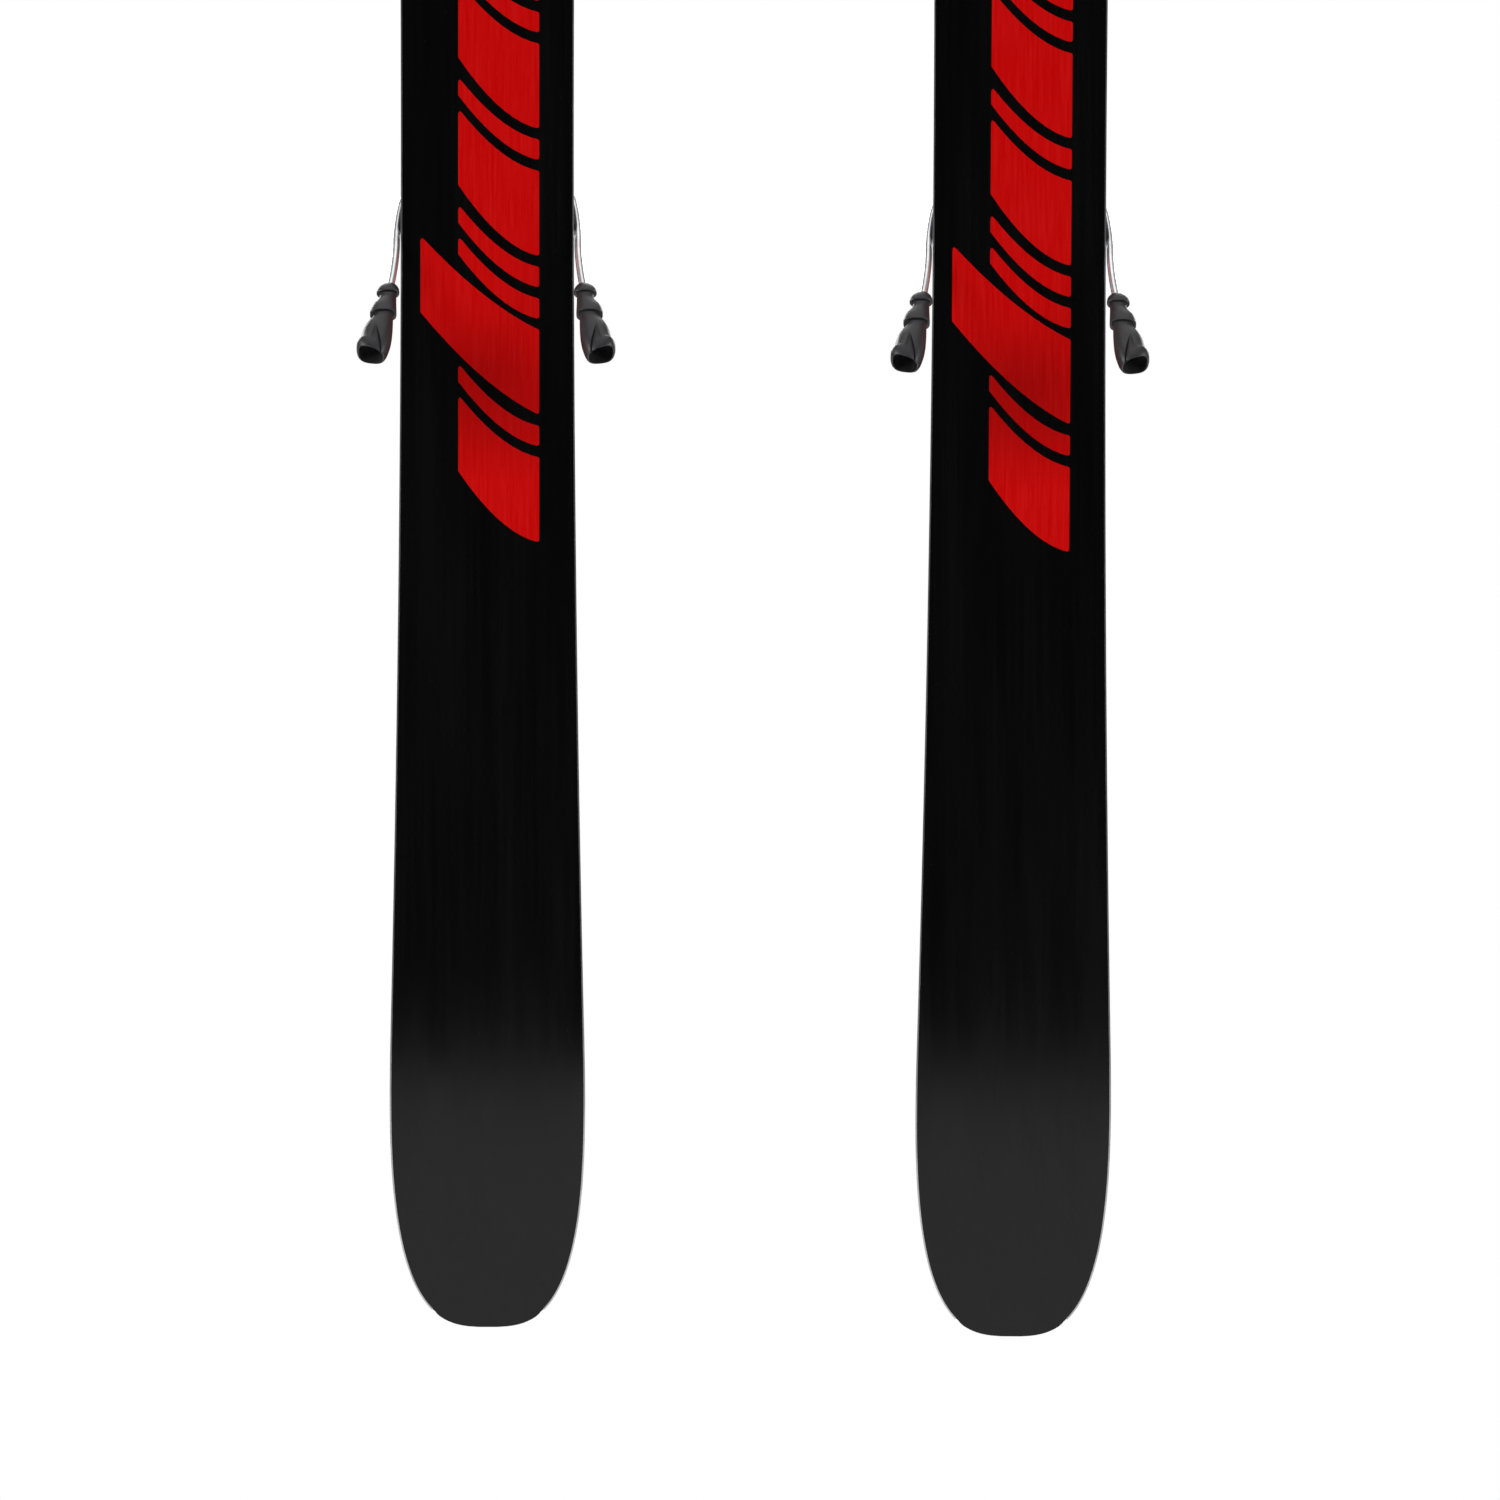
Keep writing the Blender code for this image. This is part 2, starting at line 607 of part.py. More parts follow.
def heel_piece(name, ski):
    track = heel_track(name, ski)
    heel_carriage(name, ski)
    pivot = empty(name + "heel_pivot", (0.0, HEEL_PIN_Y, HEEL_PIN_Z), (-HEEL_OPEN, 0.0, 0.0), ski)
    heel_housing(name, pivot)
    heel_lever(name, pivot)
    heel_release_parts(name, pivot)
    return track


# Brake. Built stepped down, with its arms level, and dropped by its empty.

def brake_base(name, ski):
    """The channel that carries the axle, with a pad for the boot's heel on each side."""
    low = DECK + SEAT
    floor = DECK + 0.0028
    right = [(0.036, low), (0.036, HEEL_PAD_TOP - 0.002), (0.034, HEEL_PAD_TOP), (0.024, HEEL_PAD_TOP),
             (0.024, floor)]
    section = right + [(-x, y) for x, y in reversed(right)]
    black = material("binding_black", (0.02, 0.02, 0.02), 0.42)
    obj = add(name + "brake_base", prism("Z", section, BRAKE_BASE_BACK, BRAKE_BASE_FRONT), black, ski)
    axle = [(-0.060, WIRE_RADIUS + BORE_CLEARANCE), (0.060, WIRE_RADIUS + BORE_CLEARANCE)]
    bore = turned("X", (BRAKE_PIVOT_Y, BRAKE_PIVOT_Z), axle, sides=12)
    cut(obj, helper(name + "brake_bore_shape", bore, ski))


def brake_pedal(name, pivot):
    outline = rounded(mm([(-5, -1.5), (-4.5, 3), (-1, 9), (-1, 47), (3, 50), (8.5, 48), (8.5, 8), (4, -3.5),
                          (-3, -4.2)]), 0.002, 2)
    black = material("binding_black", (0.02, 0.02, 0.02), 0.42)
    obj = add(name + "brake_pedal", prism("X", outline, -0.0210, 0.0210), black, pivot)
    axle = [(-0.040, WIRE_RADIUS + BORE_CLEARANCE), (0.040, WIRE_RADIUS + BORE_CLEARANCE)]
    cut(obj, helper(name + "pedal_bore_shape", turned("X", (0.0, 0.0), axle, sides=12), pivot))


def brake_wire(name, pivot):
    """One bent wire: the axle across the ski and an arm down each side of it."""
    right = mm(ARM_PATH)
    left = [(-x, y, z) for x, y, z in reversed(right[1:])]
    steel = material("brake_wire_steel", (0.55, 0.55, 0.56), 0.15, 1.0)
    add(name + "brake_wire", tube(left + right, WIRE_RADIUS, 10), steel, pivot)


def foot_rings(sections, sign, corners):
    rings = []
    for reach, inner, outer, half_up in mm(sections):
        middle, half_across = (inner + outer) / 2, (outer - inner) / 2
        ring = []
        for k in range(corners):
            angle = 2 * math.pi * k / corners
            across = middle + half_across * math.cos(angle)
            ring.append((sign * across, half_up * math.sin(angle), FOOT_TOP * MM - reach))
        rings.append(ring)
    return rings


def brake_foot(name, sign, pivot):
    """A moulded anchor on the arm's end: two skirted collars, a body that flares outwards, a hollow mouth."""
    black = material("foot_black", (0.015, 0.015, 0.016), 0.4)
    obj = add(name, loft(foot_rings(FOOT_SECTIONS, sign, 12)), black, pivot)
    arm = [(sign * x, y, z) for x, y, z in mm(ARM_PATH[-3:])]
    end = Vector(arm[-1]) + (Vector(arm[-1]) - Vector(arm[-2])).normalized() * 0.0005
    bore = tube([arm[0], arm[1], tuple(end)], WIRE_RADIUS + BORE_CLEARANCE, 10)
    cut(obj, helper(name + "_bore_shape", bore, pivot))
    cut(obj, helper(name + "_mouth_shape", loft(foot_rings(FOOT_MOUTH, sign, 10)), pivot))


def brake(name, ski):
    brake_base(name, ski)
    pivot = empty(name + "brake_pivot", (0.0, BRAKE_PIVOT_Y, BRAKE_PIVOT_Z), (-BRAKE_DROP, 0.0, 0.0), ski)
    brake_pedal(name, pivot)
    brake_wire(name, pivot)
    brake_foot(name + "brake_foot_left", -1, pivot)
    brake_foot(name + "brake_foot_right", 1, pivot)


def build_ski(name, location, lean):
    ski = empty(name + "ski", location, (0.0, lean, 0.0))
    core, topsheet = ski_body(name, ski)
    plate = toe_piece(name, ski)
    track = heel_piece(name, ski)
    brake(name, ski)
    sides = ("left", "right")
    for side, spot in zip(sides, TOE_SCREWS):
        mounting_screw(name + "toe_screw_" + side, spot, TOE_PLATE_TOP, (plate, topsheet, core), ski)
    for side, spot in zip(sides, HEEL_SCREWS):
        mounting_screw(name + "heel_screw_" + side, spot, HEEL_TRACK_TOP, (track, topsheet, core), ski)


def main():
    clear_scene()
    build_ski("left_", (LEFT_SKI_X, 0.0, -HOLD_HEIGHT), 0.0)
    build_ski("right_", (RIGHT_SKI_X, 0.0, -HOLD_HEIGHT - RIGHT_SKI_DROP), RIGHT_SKI_LEAN)


main()
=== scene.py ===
"""Looks of the ski pair: fine laminates, base graphic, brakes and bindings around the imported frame."""
import json
import math

import bmesh
import bpy
from mathutils import Matrix, Vector


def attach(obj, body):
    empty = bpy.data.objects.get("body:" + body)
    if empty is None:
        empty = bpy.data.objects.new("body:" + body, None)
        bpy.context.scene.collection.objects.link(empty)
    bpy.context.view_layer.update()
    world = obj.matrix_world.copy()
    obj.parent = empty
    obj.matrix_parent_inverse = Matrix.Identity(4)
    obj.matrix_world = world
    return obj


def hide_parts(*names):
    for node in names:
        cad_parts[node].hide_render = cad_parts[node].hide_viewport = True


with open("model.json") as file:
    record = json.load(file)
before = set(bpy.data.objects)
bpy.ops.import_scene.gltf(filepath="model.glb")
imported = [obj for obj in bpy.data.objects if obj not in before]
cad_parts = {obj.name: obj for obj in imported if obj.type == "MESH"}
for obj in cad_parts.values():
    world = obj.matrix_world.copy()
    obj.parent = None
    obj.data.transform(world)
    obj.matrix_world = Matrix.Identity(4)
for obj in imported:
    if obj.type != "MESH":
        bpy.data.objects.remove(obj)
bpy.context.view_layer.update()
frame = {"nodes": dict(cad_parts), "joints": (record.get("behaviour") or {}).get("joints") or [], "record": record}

RECORD = frame["record"]
MM = 0.001

# The ski's shape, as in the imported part
SKI_LENGTH = 1.850
WAIST_AT = 0.750
WAIST_HALF = 0.055
TAIL_SIDECUT_RADIUS = 24.0
TIP_SIDECUT_RADIUS = 25.5
TAIL_CAP, TAIL_CAP_POWER = 0.200, 3.0
TIP_CAP, TIP_CAP_POWER = 0.260, 2.5
END_FLAT = 0.00004
TAIL_ROCKER, TAIL_RISE = 0.240, 0.038
TIP_ROCKER, TIP_RISE = 0.400, 0.075
ROCKER_POWER = 2.2
DECK = 0.015
END_THICKNESS = 0.006
FULL_FROM, FULL_TO = 0.540, 1.110
THIN_BELOW, THIN_ABOVE = 0.080, 1.700

# Its layers. Insets are measured in from the outline, and height shares up from the layer's own bottom
BASE_THICKNESS = 0.0018
EDGE_WIDTH, EDGE_HEIGHT, EDGE_CHAMFER = 0.0010, 0.002, 0.0002
EDGE_STOP, EDGE_FADE = 0.011, 0.004
SIDEWALL_FOOT, SIDEWALL_SHOULDER, SIDEWALL_INNER = 0.0006, 0.0022, 0.0058
SIDEWALL_STEP, SIDEWALL_STEP_SHARE = 0.0002, 0.25
TOPSHEET_THICKNESS, TOPSHEET_BEVEL = 0.0008, 0.0010
TOPSHEET_RIM, TOPSHEET_RIM_SHARE = 0.0003, 0.62
SEAM = 0.00003

# The view: how much of the pair the square picture takes in, and where its middle lies
VIEW_SPAN = 0.9536
VIEW_DISTANCE = 12.0
VIEW_ABOVE_TAIL = 0.368
SENSOR = 36.0

# The studio. A lamp is its name, where it stands from the picture's middle, its size and its power
FLOOR_BELOW_TAILS = 0.20
FLOOR_RADIUS = 1.9
FLOOR_TONE, FLOOR_GLOW = (0.86, 0.86, 0.86, 1), 0.30
WHITE = (1, 1, 1, 1)
ROOM_LIGHT, ROOM_DARK = 0.42, 0.02
DARK_ENDS, LIGHT_STARTS = -0.98, -0.55
LAMP_LIGHT = 0.5
LAMPS = (
    ("key_left", (-3.2, -2.2, 1.6), 1.8, 150),
    ("key_right", (3.2, -2.2, 1.2), 1.8, 110),
    ("back_left", (-2.2, 3.0, 1.8), 1.6, 110),
    ("back_right", (2.4, 2.8, 1.2), 1.6, 80),
    ("overhead", (0, -0.4, 3.2), 2.2, 27),
    ("behind", (0, 2.6, 3.0), 2.2, 90),
)

# Colours
BASE_BLACK, BASE_GREY, SCRATCH = (0.0008, 0.0008, 0.0010), (0.0024, 0.0024, 0.0028), (0.22, 0.22, 0.23)
INLAY_DEEP, INLAY_PALE, INLAY_BAND = (0.54, 0.0008, 0.0008), (0.62, 0.0055, 0.0050), (0.20, 0.0010, 0.0010)
WOOD_PALE, WOOD_DARK = (0.62, 0.44, 0.24), (0.38, 0.22, 0.10)
WEAVE_DARK, WEAVE_PALE = (0.0070, 0.0075, 0.0085), (0.0130, 0.0135, 0.0150)
PRINT_GREY, PRINT_PALE, PRINT_RED = (0.040, 0.042, 0.046), (0.50, 0.50, 0.51), (0.40, 0.008, 0.008)
GLIDE_DARK, GLIDE_PALE = (0.165, 0.170, 0.175), (0.205, 0.210, 0.215)

# The darker band across the inlay, and the topsheet's slanted bars: where each starts and ends along the ski
BAND_FROM, BAND_TO, BAND_SOFT, BAND_DEPTH = 0.575, 0.605, 0.035, 0.7
PRINT_SLANT = 0.9
RED_BARS = ((0.13, 0.29), (0.315, 0.335), (1.36, 1.385), (1.41, 1.64))
PALE_LINES = ((0.300, 0.303), (0.345, 0.348), (1.347, 1.350), (1.395, 1.398))
GREY_BARS = ((0.40, 0.43), (0.445, 0.452), (1.20, 1.23), (1.245, 1.252))


# Ski frames

def named(rows, name):
    return next(row for row in rows if row["name"] == name)


def ski_matrix(side):
    """From a ski's own frame, tail end at the origin and base at y = 0, to the shared frame."""
    across = Vector(named(frame["joints"], side + "_brake_fold")["axis"]).normalized()
    up = across.cross(Vector((0, 1, 0))).normalized()
    face = Vector(named(RECORD["mounts"], side + "_running_face")["pos_m"])
    matrix = Matrix((across, (0, 1, 0), up)).transposed().to_4x4()
    matrix.translation = face - up * WAIST_AT
    return matrix


# Materials

class Nodes:
    """A small builder for one material's node tree."""

    def __init__(self, name):
        self.material = bpy.data.materials.new(name)
        self.material.use_nodes = True
        self.tree = self.material.node_tree
        self.shader = self.tree.nodes["Principled BSDF"]
        self.place = self.add("ShaderNodeTexCoord").outputs["Object"]

    def add(self, kind, **settings):
        node = self.tree.nodes.new(kind)
        for key, value in settings.items():
            setattr(node, key, value)
        return node

    def link(self, source, target):
        self.tree.links.new(source, target)

    def stretched(self, scale):
        """The object's own coordinates, scaled along each axis: more per metre makes a finer pattern."""
        node = self.add("ShaderNodeMapping")
        node.inputs["Scale"].default_value = scale
        self.link(self.place, node.inputs["Vector"])
        return node.outputs["Vector"]

    def noise(self, scale, detail=3.0, rough=0.55):
        node = self.add("ShaderNodeTexNoise")
        node.inputs["Scale"].default_value = 1.0
        node.inputs["Detail"].default_value = detail
        node.inputs["Roughness"].default_value = rough
        self.link(self.stretched(scale), node.inputs["Vector"])
        return node.outputs["Fac"]

    def cells(self, scale):
        node = self.add("ShaderNodeTexVoronoi")
        node.inputs["Scale"].default_value = 1.0
        self.link(self.stretched(scale), node.inputs["Vector"])
        return node.outputs["Distance"]

    def ramp(self, value, low, high, to_low=0.0, to_high=1.0):
        node = self.add("ShaderNodeMapRange")
        node.inputs["From Min"].default_value = low
        node.inputs["From Max"].default_value = high
        node.inputs["To Min"].default_value = to_low
        node.inputs["To Max"].default_value = to_high
        self.link(value, node.inputs["Value"])
        return node.outputs["Result"]

    def ski_place(self):
        """Coordinates across, through and along the ski, kept with the mesh: the same on both skis."""
        node = self.add("ShaderNodeAttribute", attribute_name="ski_place")
        split = self.add("ShaderNodeSeparateXYZ")
        self.link(node.outputs["Vector"], split.inputs[0])
        return split.outputs

    def math(self, operation, first, second):
        node = self.add("ShaderNodeMath", operation=operation)
        for socket, value in zip(node.inputs, (first, second)):
            if isinstance(value, (int, float)):
                socket.default_value = value
            else:
                self.link(value, socket)
        return node.outputs[0]

    def window(self, value, low, high, soft=0.0003):
        """1 between low and high, 0 outside, with soft flanks."""
        rise = self.ramp(value, low - soft, low + soft)
        fall = self.ramp(value, high - soft, high + soft, 1.0, 0.0)
        return self.math("MULTIPLY", rise, fall)

    def any_of(self, values):
        found = values[0]
        for value in values[1:]:
            found = self.math("MAXIMUM", found, value)
        return found

    def mix(self, share, first, second):
        node = self.add("ShaderNodeMix", data_type="RGBA")
        for socket, value in (("A", first), ("B", second)):
            target = next(i for i in node.inputs if i.name == socket and i.type == "RGBA")
            if isinstance(value, (tuple, list)):
                target.default_value = (*value, 1.0)
            else:
                self.link(value, target)
        self.link(share, node.inputs["Factor"])
        return next(o for o in node.outputs if o.type == "RGBA")

    def color(self, value):
        self.link(value, self.shader.inputs["Base Color"])

    def roughness(self, value):
        self.link(value, self.shader.inputs["Roughness"])

    def bump(self, height, strength, distance):
        node = self.add("ShaderNodeBump")
        node.inputs["Strength"].default_value = strength
        node.inputs["Distance"].default_value = distance
        self.link(height, node.inputs["Height"])
        self.link(node.outputs["Normal"], self.shader.inputs["Normal"])

    def set(self, values):
        for key, value in values.items():
            self.shader.inputs[key].default_value = value


def base_black():
    """Stone-ground polyethylene: fine streaks along the ski and a few pale specks and scratches."""
    made = Nodes("base_black")
    streaks = made.noise((420, 420, 7), 4.0, 0.6)
    broad = made.noise((40, 40, 3.5), 2.0)
    tone = made.mix(made.ramp(streaks, 0.35, 0.75), BASE_BLACK, BASE_GREY)
    scratch = made.ramp(made.cells((260, 260, 45)), 0.0, 0.035, 0.20, 0.0)
    made.color(made.mix(scratch, tone, SCRATCH))
    made.roughness(made.ramp(broad, 0.3, 0.7, 0.20, 0.30))
    made.bump(streaks, 0.10, 0.00008)
    made.set({"Specular IOR Level": 0.24})
    return made.material


def base_red():
    """The red inlay: streaks along the ski and one soft darker band across."""
    made = Nodes("base_red")
    streaks = made.noise((620, 620, 22), 4.0, 0.65)
    tone = made.mix(made.ramp(streaks, 0.42, 0.80), INLAY_DEEP, INLAY_PALE)
    band = made.window(made.ski_place()[2], BAND_FROM, BAND_TO, BAND_SOFT)
    made.color(made.mix(made.math("MULTIPLY", band, BAND_DEPTH), tone, INLAY_BAND))
    made.roughness(made.ramp(streaks, 0.3, 0.7, 0.26, 0.36))
    made.bump(streaks, 0.10, 0.00008)
    made.set({"Specular IOR Level": 0.20})
    return made.material


def steel(name, color, grain, rough, relief=0.12):
    """Ground or drawn steel with a directional grain and faint stains."""
    made = Nodes(name)
    lines = made.noise(grain, 4.0, 0.6)
    stain = made.noise((60, 60, 60), 3.0)
    shade = tuple(c * 0.72 for c in color)
    made.color(made.mix(made.ramp(stain, 0.35, 0.75), color, shade))
    made.roughness(made.ramp(lines, 0.3, 0.7, *rough))
    made.bump(lines, relief, 0.00005)
    made.set({"Metallic": 1.0})
    return made.material


def moulded(name, color, rough=(0.38, 0.52), grain=2600.0, depth=0.00006, wear=0.4):
    """Moulded plastic: a fine leather-like grain, uneven gloss and slightly paler rubbed places."""
    made = Nodes(name)
    grit = made.noise((grain, grain, grain), 2.0)
    patches = made.noise((38, 38, 38), 4.0, 0.6)
    pale = tuple(min(1.0, c * 1.5 + 0.012) for c in color)
    made.color(made.mix(made.ramp(patches, 0.50, 0.80, 0.0, wear), color, pale))
    made.roughness(made.ramp(patches, 0.3, 0.7, *rough))
    made.bump(grit, 0.25, depth)
    return made.material


def wood():
    """Bare core wood with its grain along the ski."""
    made = Nodes("core_wood")
    grain = made.noise((160, 40, 3), 5.0, 0.65)
    made.color(made.mix(grain, WOOD_PALE, WOOD_DARK))
    made.roughness(made.ramp(grain, 0.3, 0.7, 0.5, 0.7))
    made.bump(grain, 0.2, 0.0002)
    return made.material


def topsheet_print():
    """Satin topsheet: a graphite weave with slanted red, pale and grey bars towards the tip and the tail."""
    made = Nodes("topsheet_print")
    weave = made.add("ShaderNodeTexWave", wave_type="BANDS", bands_direction="DIAGONAL")
    made.link(made.stretched((90, 90, 90)), weave.inputs["Vector"])
    field = made.mix(weave.outputs["Fac"], WEAVE_DARK, WEAVE_PALE)
    x, _, z = made.ski_place()
    slant = made.math("ADD", z, made.math("MULTIPLY", x, PRINT_SLANT))
    counter = made.math("SUBTRACT", z, made.math("MULTIPLY", x, PRINT_SLANT))
    red = [made.window(slant, *span) for span in RED_BARS]
    pale = [made.window(slant, *span) for span in PALE_LINES]
    grey = [made.window(counter, *span) for span in GREY_BARS]
    tone = made.mix(made.any_of(grey), field, PRINT_GREY)
    tone = made.mix(made.any_of(pale), tone, PRINT_PALE)
    made.color(made.mix(made.any_of(red), tone, PRINT_RED))
    dust = made.noise((30, 30, 12), 2.0)
    made.roughness(made.ramp(dust, 0.1, 0.9, 0.24, 0.37))
    made.bump(weave.outputs["Fac"], 0.04, 0.00004)
    made.set({"Coat Weight": 0.30, "Coat Roughness": 0.14})
    return made.material


def glide():
    """Smooth grey slip plate, rubbed across the ski."""
    made = Nodes("glide_plate")
    rubbed = made.noise((8, 30, 160), 4.0)
    made.color(made.mix(made.ramp(rubbed, 0.35, 0.75), GLIDE_DARK, GLIDE_PALE))
    made.roughness(made.ramp(rubbed, 0.3, 0.7, 0.18, 0.30))
    made.bump(rubbed, 0.1, 0.00006)
    return made.material


MATERIALS = {
    "base_black": base_black(),
    "base_red": base_red(),
    "edge": steel("steel_edge", (0.44, 0.445, 0.46), grain=(700, 700, 6), rough=(0.30, 0.38)),
    "wood": wood(),
    "sidewall": moulded("sidewall", (0.012, 0.012, 0.013), (0.34, 0.48), 1400.0, depth=0.00004, wear=0.24),
    "topsheet": topsheet_print(),
    "plastic": moulded("binding_plastic", (0.014, 0.014, 0.015)),
    "shell": moulded("binding_shell", (0.42, 0.010, 0.010), (0.24, 0.36), 3000.0, depth=0.00003, wear=0.08),
    "foot": moulded("brake_foot", (0.016, 0.0155, 0.018), (0.34, 0.50), 1500.0, depth=0.00010),
    "spring": steel("spring_steel", (0.42, 0.42, 0.43), grain=(900, 900, 900), rough=(0.22, 0.34)),
    "adjuster": steel("adjuster", (0.60, 0.45, 0.20), grain=(700, 700, 700), rough=(0.25, 0.38)),
    "glide": glide(),
    "screw": steel("screw_steel", (0.36, 0.36, 0.37), grain=(800, 800, 800), rough=(0.24, 0.36)),
    "track": steel("track_steel", (0.24, 0.24, 0.25), grain=(700, 700, 40), rough=(0.30, 0.42)),
    "wire": steel("brake_wire", (0.80, 0.80, 0.82), grain=(500, 500, 60), rough=(0.16, 0.24), relief=0.01),
}


# Mesh tools

def loft(rings, closed=False):
    """Skin over rings of points. The two end rings are capped, or joined to each other when closed."""
    bm = bmesh.new()
    loops = [[bm.verts.new(point) for point in ring] for ring in rings]
    pairs = list(zip(loops, loops[1:]))
    if closed:
        pairs.append((loops[-1], loops[0]))
    else:
        bm.faces.new(loops[0])
        bm.faces.new(loops[-1])
    for lower, upper in pairs:
        for i in range(len(lower)):
            j = (i + 1) % len(lower)
            bm.faces.new((lower[i], lower[j], upper[j], upper[i]))
    return bm


def circle(middle, across, other, radius, sides):
    angles = [2 * math.pi * k / sides for k in range(sides)]
    return [middle + radius * (across * math.cos(a) + other * math.sin(a)) for a in angles]


def together(parts):
    whole = bmesh.new()
    for part in parts:
        mesh = bpy.data.meshes.new("part")
        part.to_mesh(mesh)
        part.free()
        whole.from_mesh(mesh)
        bpy.data.meshes.remove(mesh)
    return whole


def piece(name, bm, finish, body, matrix, nodes=(), sharp=35.0):
    """A shown piece: its mesh goes to the shared frame, rides on its body and stands for its CAD nodes."""
    bmesh.ops.recalc_face_normals(bm, faces=bm.faces)
    place = bm.verts.layers.float_vector.new("ski_place")
    for vert in bm.verts:
        vert[place] = vert.co
    bmesh.ops.transform(bm, matrix=matrix, verts=bm.verts)
    mesh = bpy.data.meshes.new(name)
    bm.to_mesh(mesh)
    bm.free()
    mesh.shade_smooth()
    mesh.set_sharp_from_angle(angle=math.radians(sharp))
    obj = bpy.data.objects.new(name, mesh)
    bpy.context.scene.collection.objects.link(obj)
    mesh.materials.append(MATERIALS[finish])
    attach(obj, body)
    if nodes:
        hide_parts(*nodes)
    return obj


def bevelled(obj, width, segments=2, angle=35.0):
    modifier = obj.modifiers.new("bevel", "BEVEL")
    modifier.width = width
    modifier.segments = segments
    modifier.limit_method = "ANGLE"
    modifier.angle_limit = math.radians(angle)
    modifier.harden_normals = True
    return obj


# The laminated ski

def half_width(z):
    if z < WAIST_AT:
        radius, power, cap, from_end = TAIL_SIDECUT_RADIUS, TAIL_CAP_POWER, TAIL_CAP, z
    else:
        radius, power, cap, from_end = TIP_SIDECUT_RADIUS, TIP_CAP_POWER, TIP_CAP, SKI_LENGTH - z
    side = WAIST_HALF + (z - WAIST_AT) ** 2 / (2 * radius)
    inside = max(0.0, 1 - max(from_end, END_FLAT) / cap)
    return side * (1 - inside ** power) ** (1 / power)


def base_height(z):
    tail = max(0.0, 1 - z / TAIL_ROCKER)
    tip = max(0.0, 1 - (SKI_LENGTH - z) / TIP_ROCKER)
    return TAIL_RISE * tail ** ROCKER_POWER + TIP_RISE * tip ** ROCKER_POWER


def ease(share):
    share = min(max(share, 0.0), 1.0)
    return share * share * (3 - 2 * share)


def top_height(z):
    tail = ease((z - THIN_BELOW) / (FULL_FROM - THIN_BELOW))
    tip = ease((THIN_ABOVE - z) / (THIN_ABOVE - FULL_TO))
    return base_height(z) + END_THICKNESS + (DECK - END_THICKNESS) * min(tail, tip)


def stations():
    """Fine heights for the sections: very close in the round ends."""
    cap_steps, middle_steps = 44, 90
    edge_ends = [EDGE_STOP - SEAM, EDGE_STOP]
    found = edge_ends + [SKI_LENGTH - z for z in edge_ends]
    for k in range(cap_steps + 1):
        found.append(TAIL_CAP * (k / cap_steps) ** 2)
        found.append(SKI_LENGTH - TIP_CAP * (k / cap_steps) ** 2)
    for k in range(1, middle_steps):
        found.append(TAIL_CAP + (SKI_LENGTH - TIP_CAP - TAIL_CAP) * k / middle_steps)
    return sorted(found)


STATIONS = stations()
OUTLINE = [Vector((half_width(z), z)) for z in STATIONS]
FIRST_EDGE = STATIONS.index(EDGE_STOP)
LAST_EDGE = STATIONS.index(SKI_LENGTH - EDGE_STOP)


def side_line(inset=0.0):
    """The outline's right half, moved in square to itself."""
    moved = []
    for i, point in enumerate(OUTLINE):
        before = (point - OUTLINE[i - 1]).normalized() if i else Vector((1, 0))
        after = (OUTLINE[i + 1] - point).normalized() if i + 1 < len(OUTLINE) else Vector((-1, 0))
        normals = [Vector((-along.y, along.x)) for along in (before, after)]
        moved.append(point + (normals[0] + normals[1]) * inset / (1 + normals[0].dot(normals[1])))
    return moved


def under_core(z):
    return base_height(z) + EDGE_HEIGHT + SEAM


def over_core(z):
    return top_height(z) - TOPSHEET_THICKNESS


def ski_base(side, matrix):
    """The running base, between the steel edges and out to the rim where they stop."""
    outer = side_line(SEAM)
    inner = side_line(EDGE_WIDTH + SEAM)
    rings = []
    for i, (wide, narrow) in enumerate(zip(outer, inner)):
        past = max(STATIONS[FIRST_EDGE] - STATIONS[i], STATIONS[i] - STATIONS[LAST_EDGE])
        rim = narrow.lerp(wide, ease((past - SEAM) / EDGE_FADE))
        low, high = base_height(rim.y) + SEAM, base_height(rim.y) + BASE_THICKNESS
        rings.append([(-rim.x, low, rim.y), (rim.x, low, rim.y),
                      (rim.x, high, rim.y), (-rim.x, high, rim.y)])
    piece(side + "_base_sheet", loft(rings), "base_black", side + "_ski", matrix,
          [side + "_base"])


def ski_edge(side, hand, sign, matrix):
    """One steel edge with its running corner broken."""
    outer = side_line()
    inner = side_line(EDGE_WIDTH)
    rings = []
    for out, into in list(zip(outer, inner))[FIRST_EDGE:LAST_EDGE + 1]:
        low, high = base_height(out.y), base_height(out.y) + EDGE_HEIGHT
        rings.append([(sign * (out.x - EDGE_CHAMFER), low, out.y), (sign * out.x, low + EDGE_CHAMFER, out.y),
                      (sign * out.x, high, out.y),
                      (sign * into.x, high, into.y), (sign * into.x, low, into.y)])
    node = f"{side}_edge_{hand}"
    piece(node + "_strip", loft(rings), "edge", side + "_ski", matrix, [node], sharp=30.0)


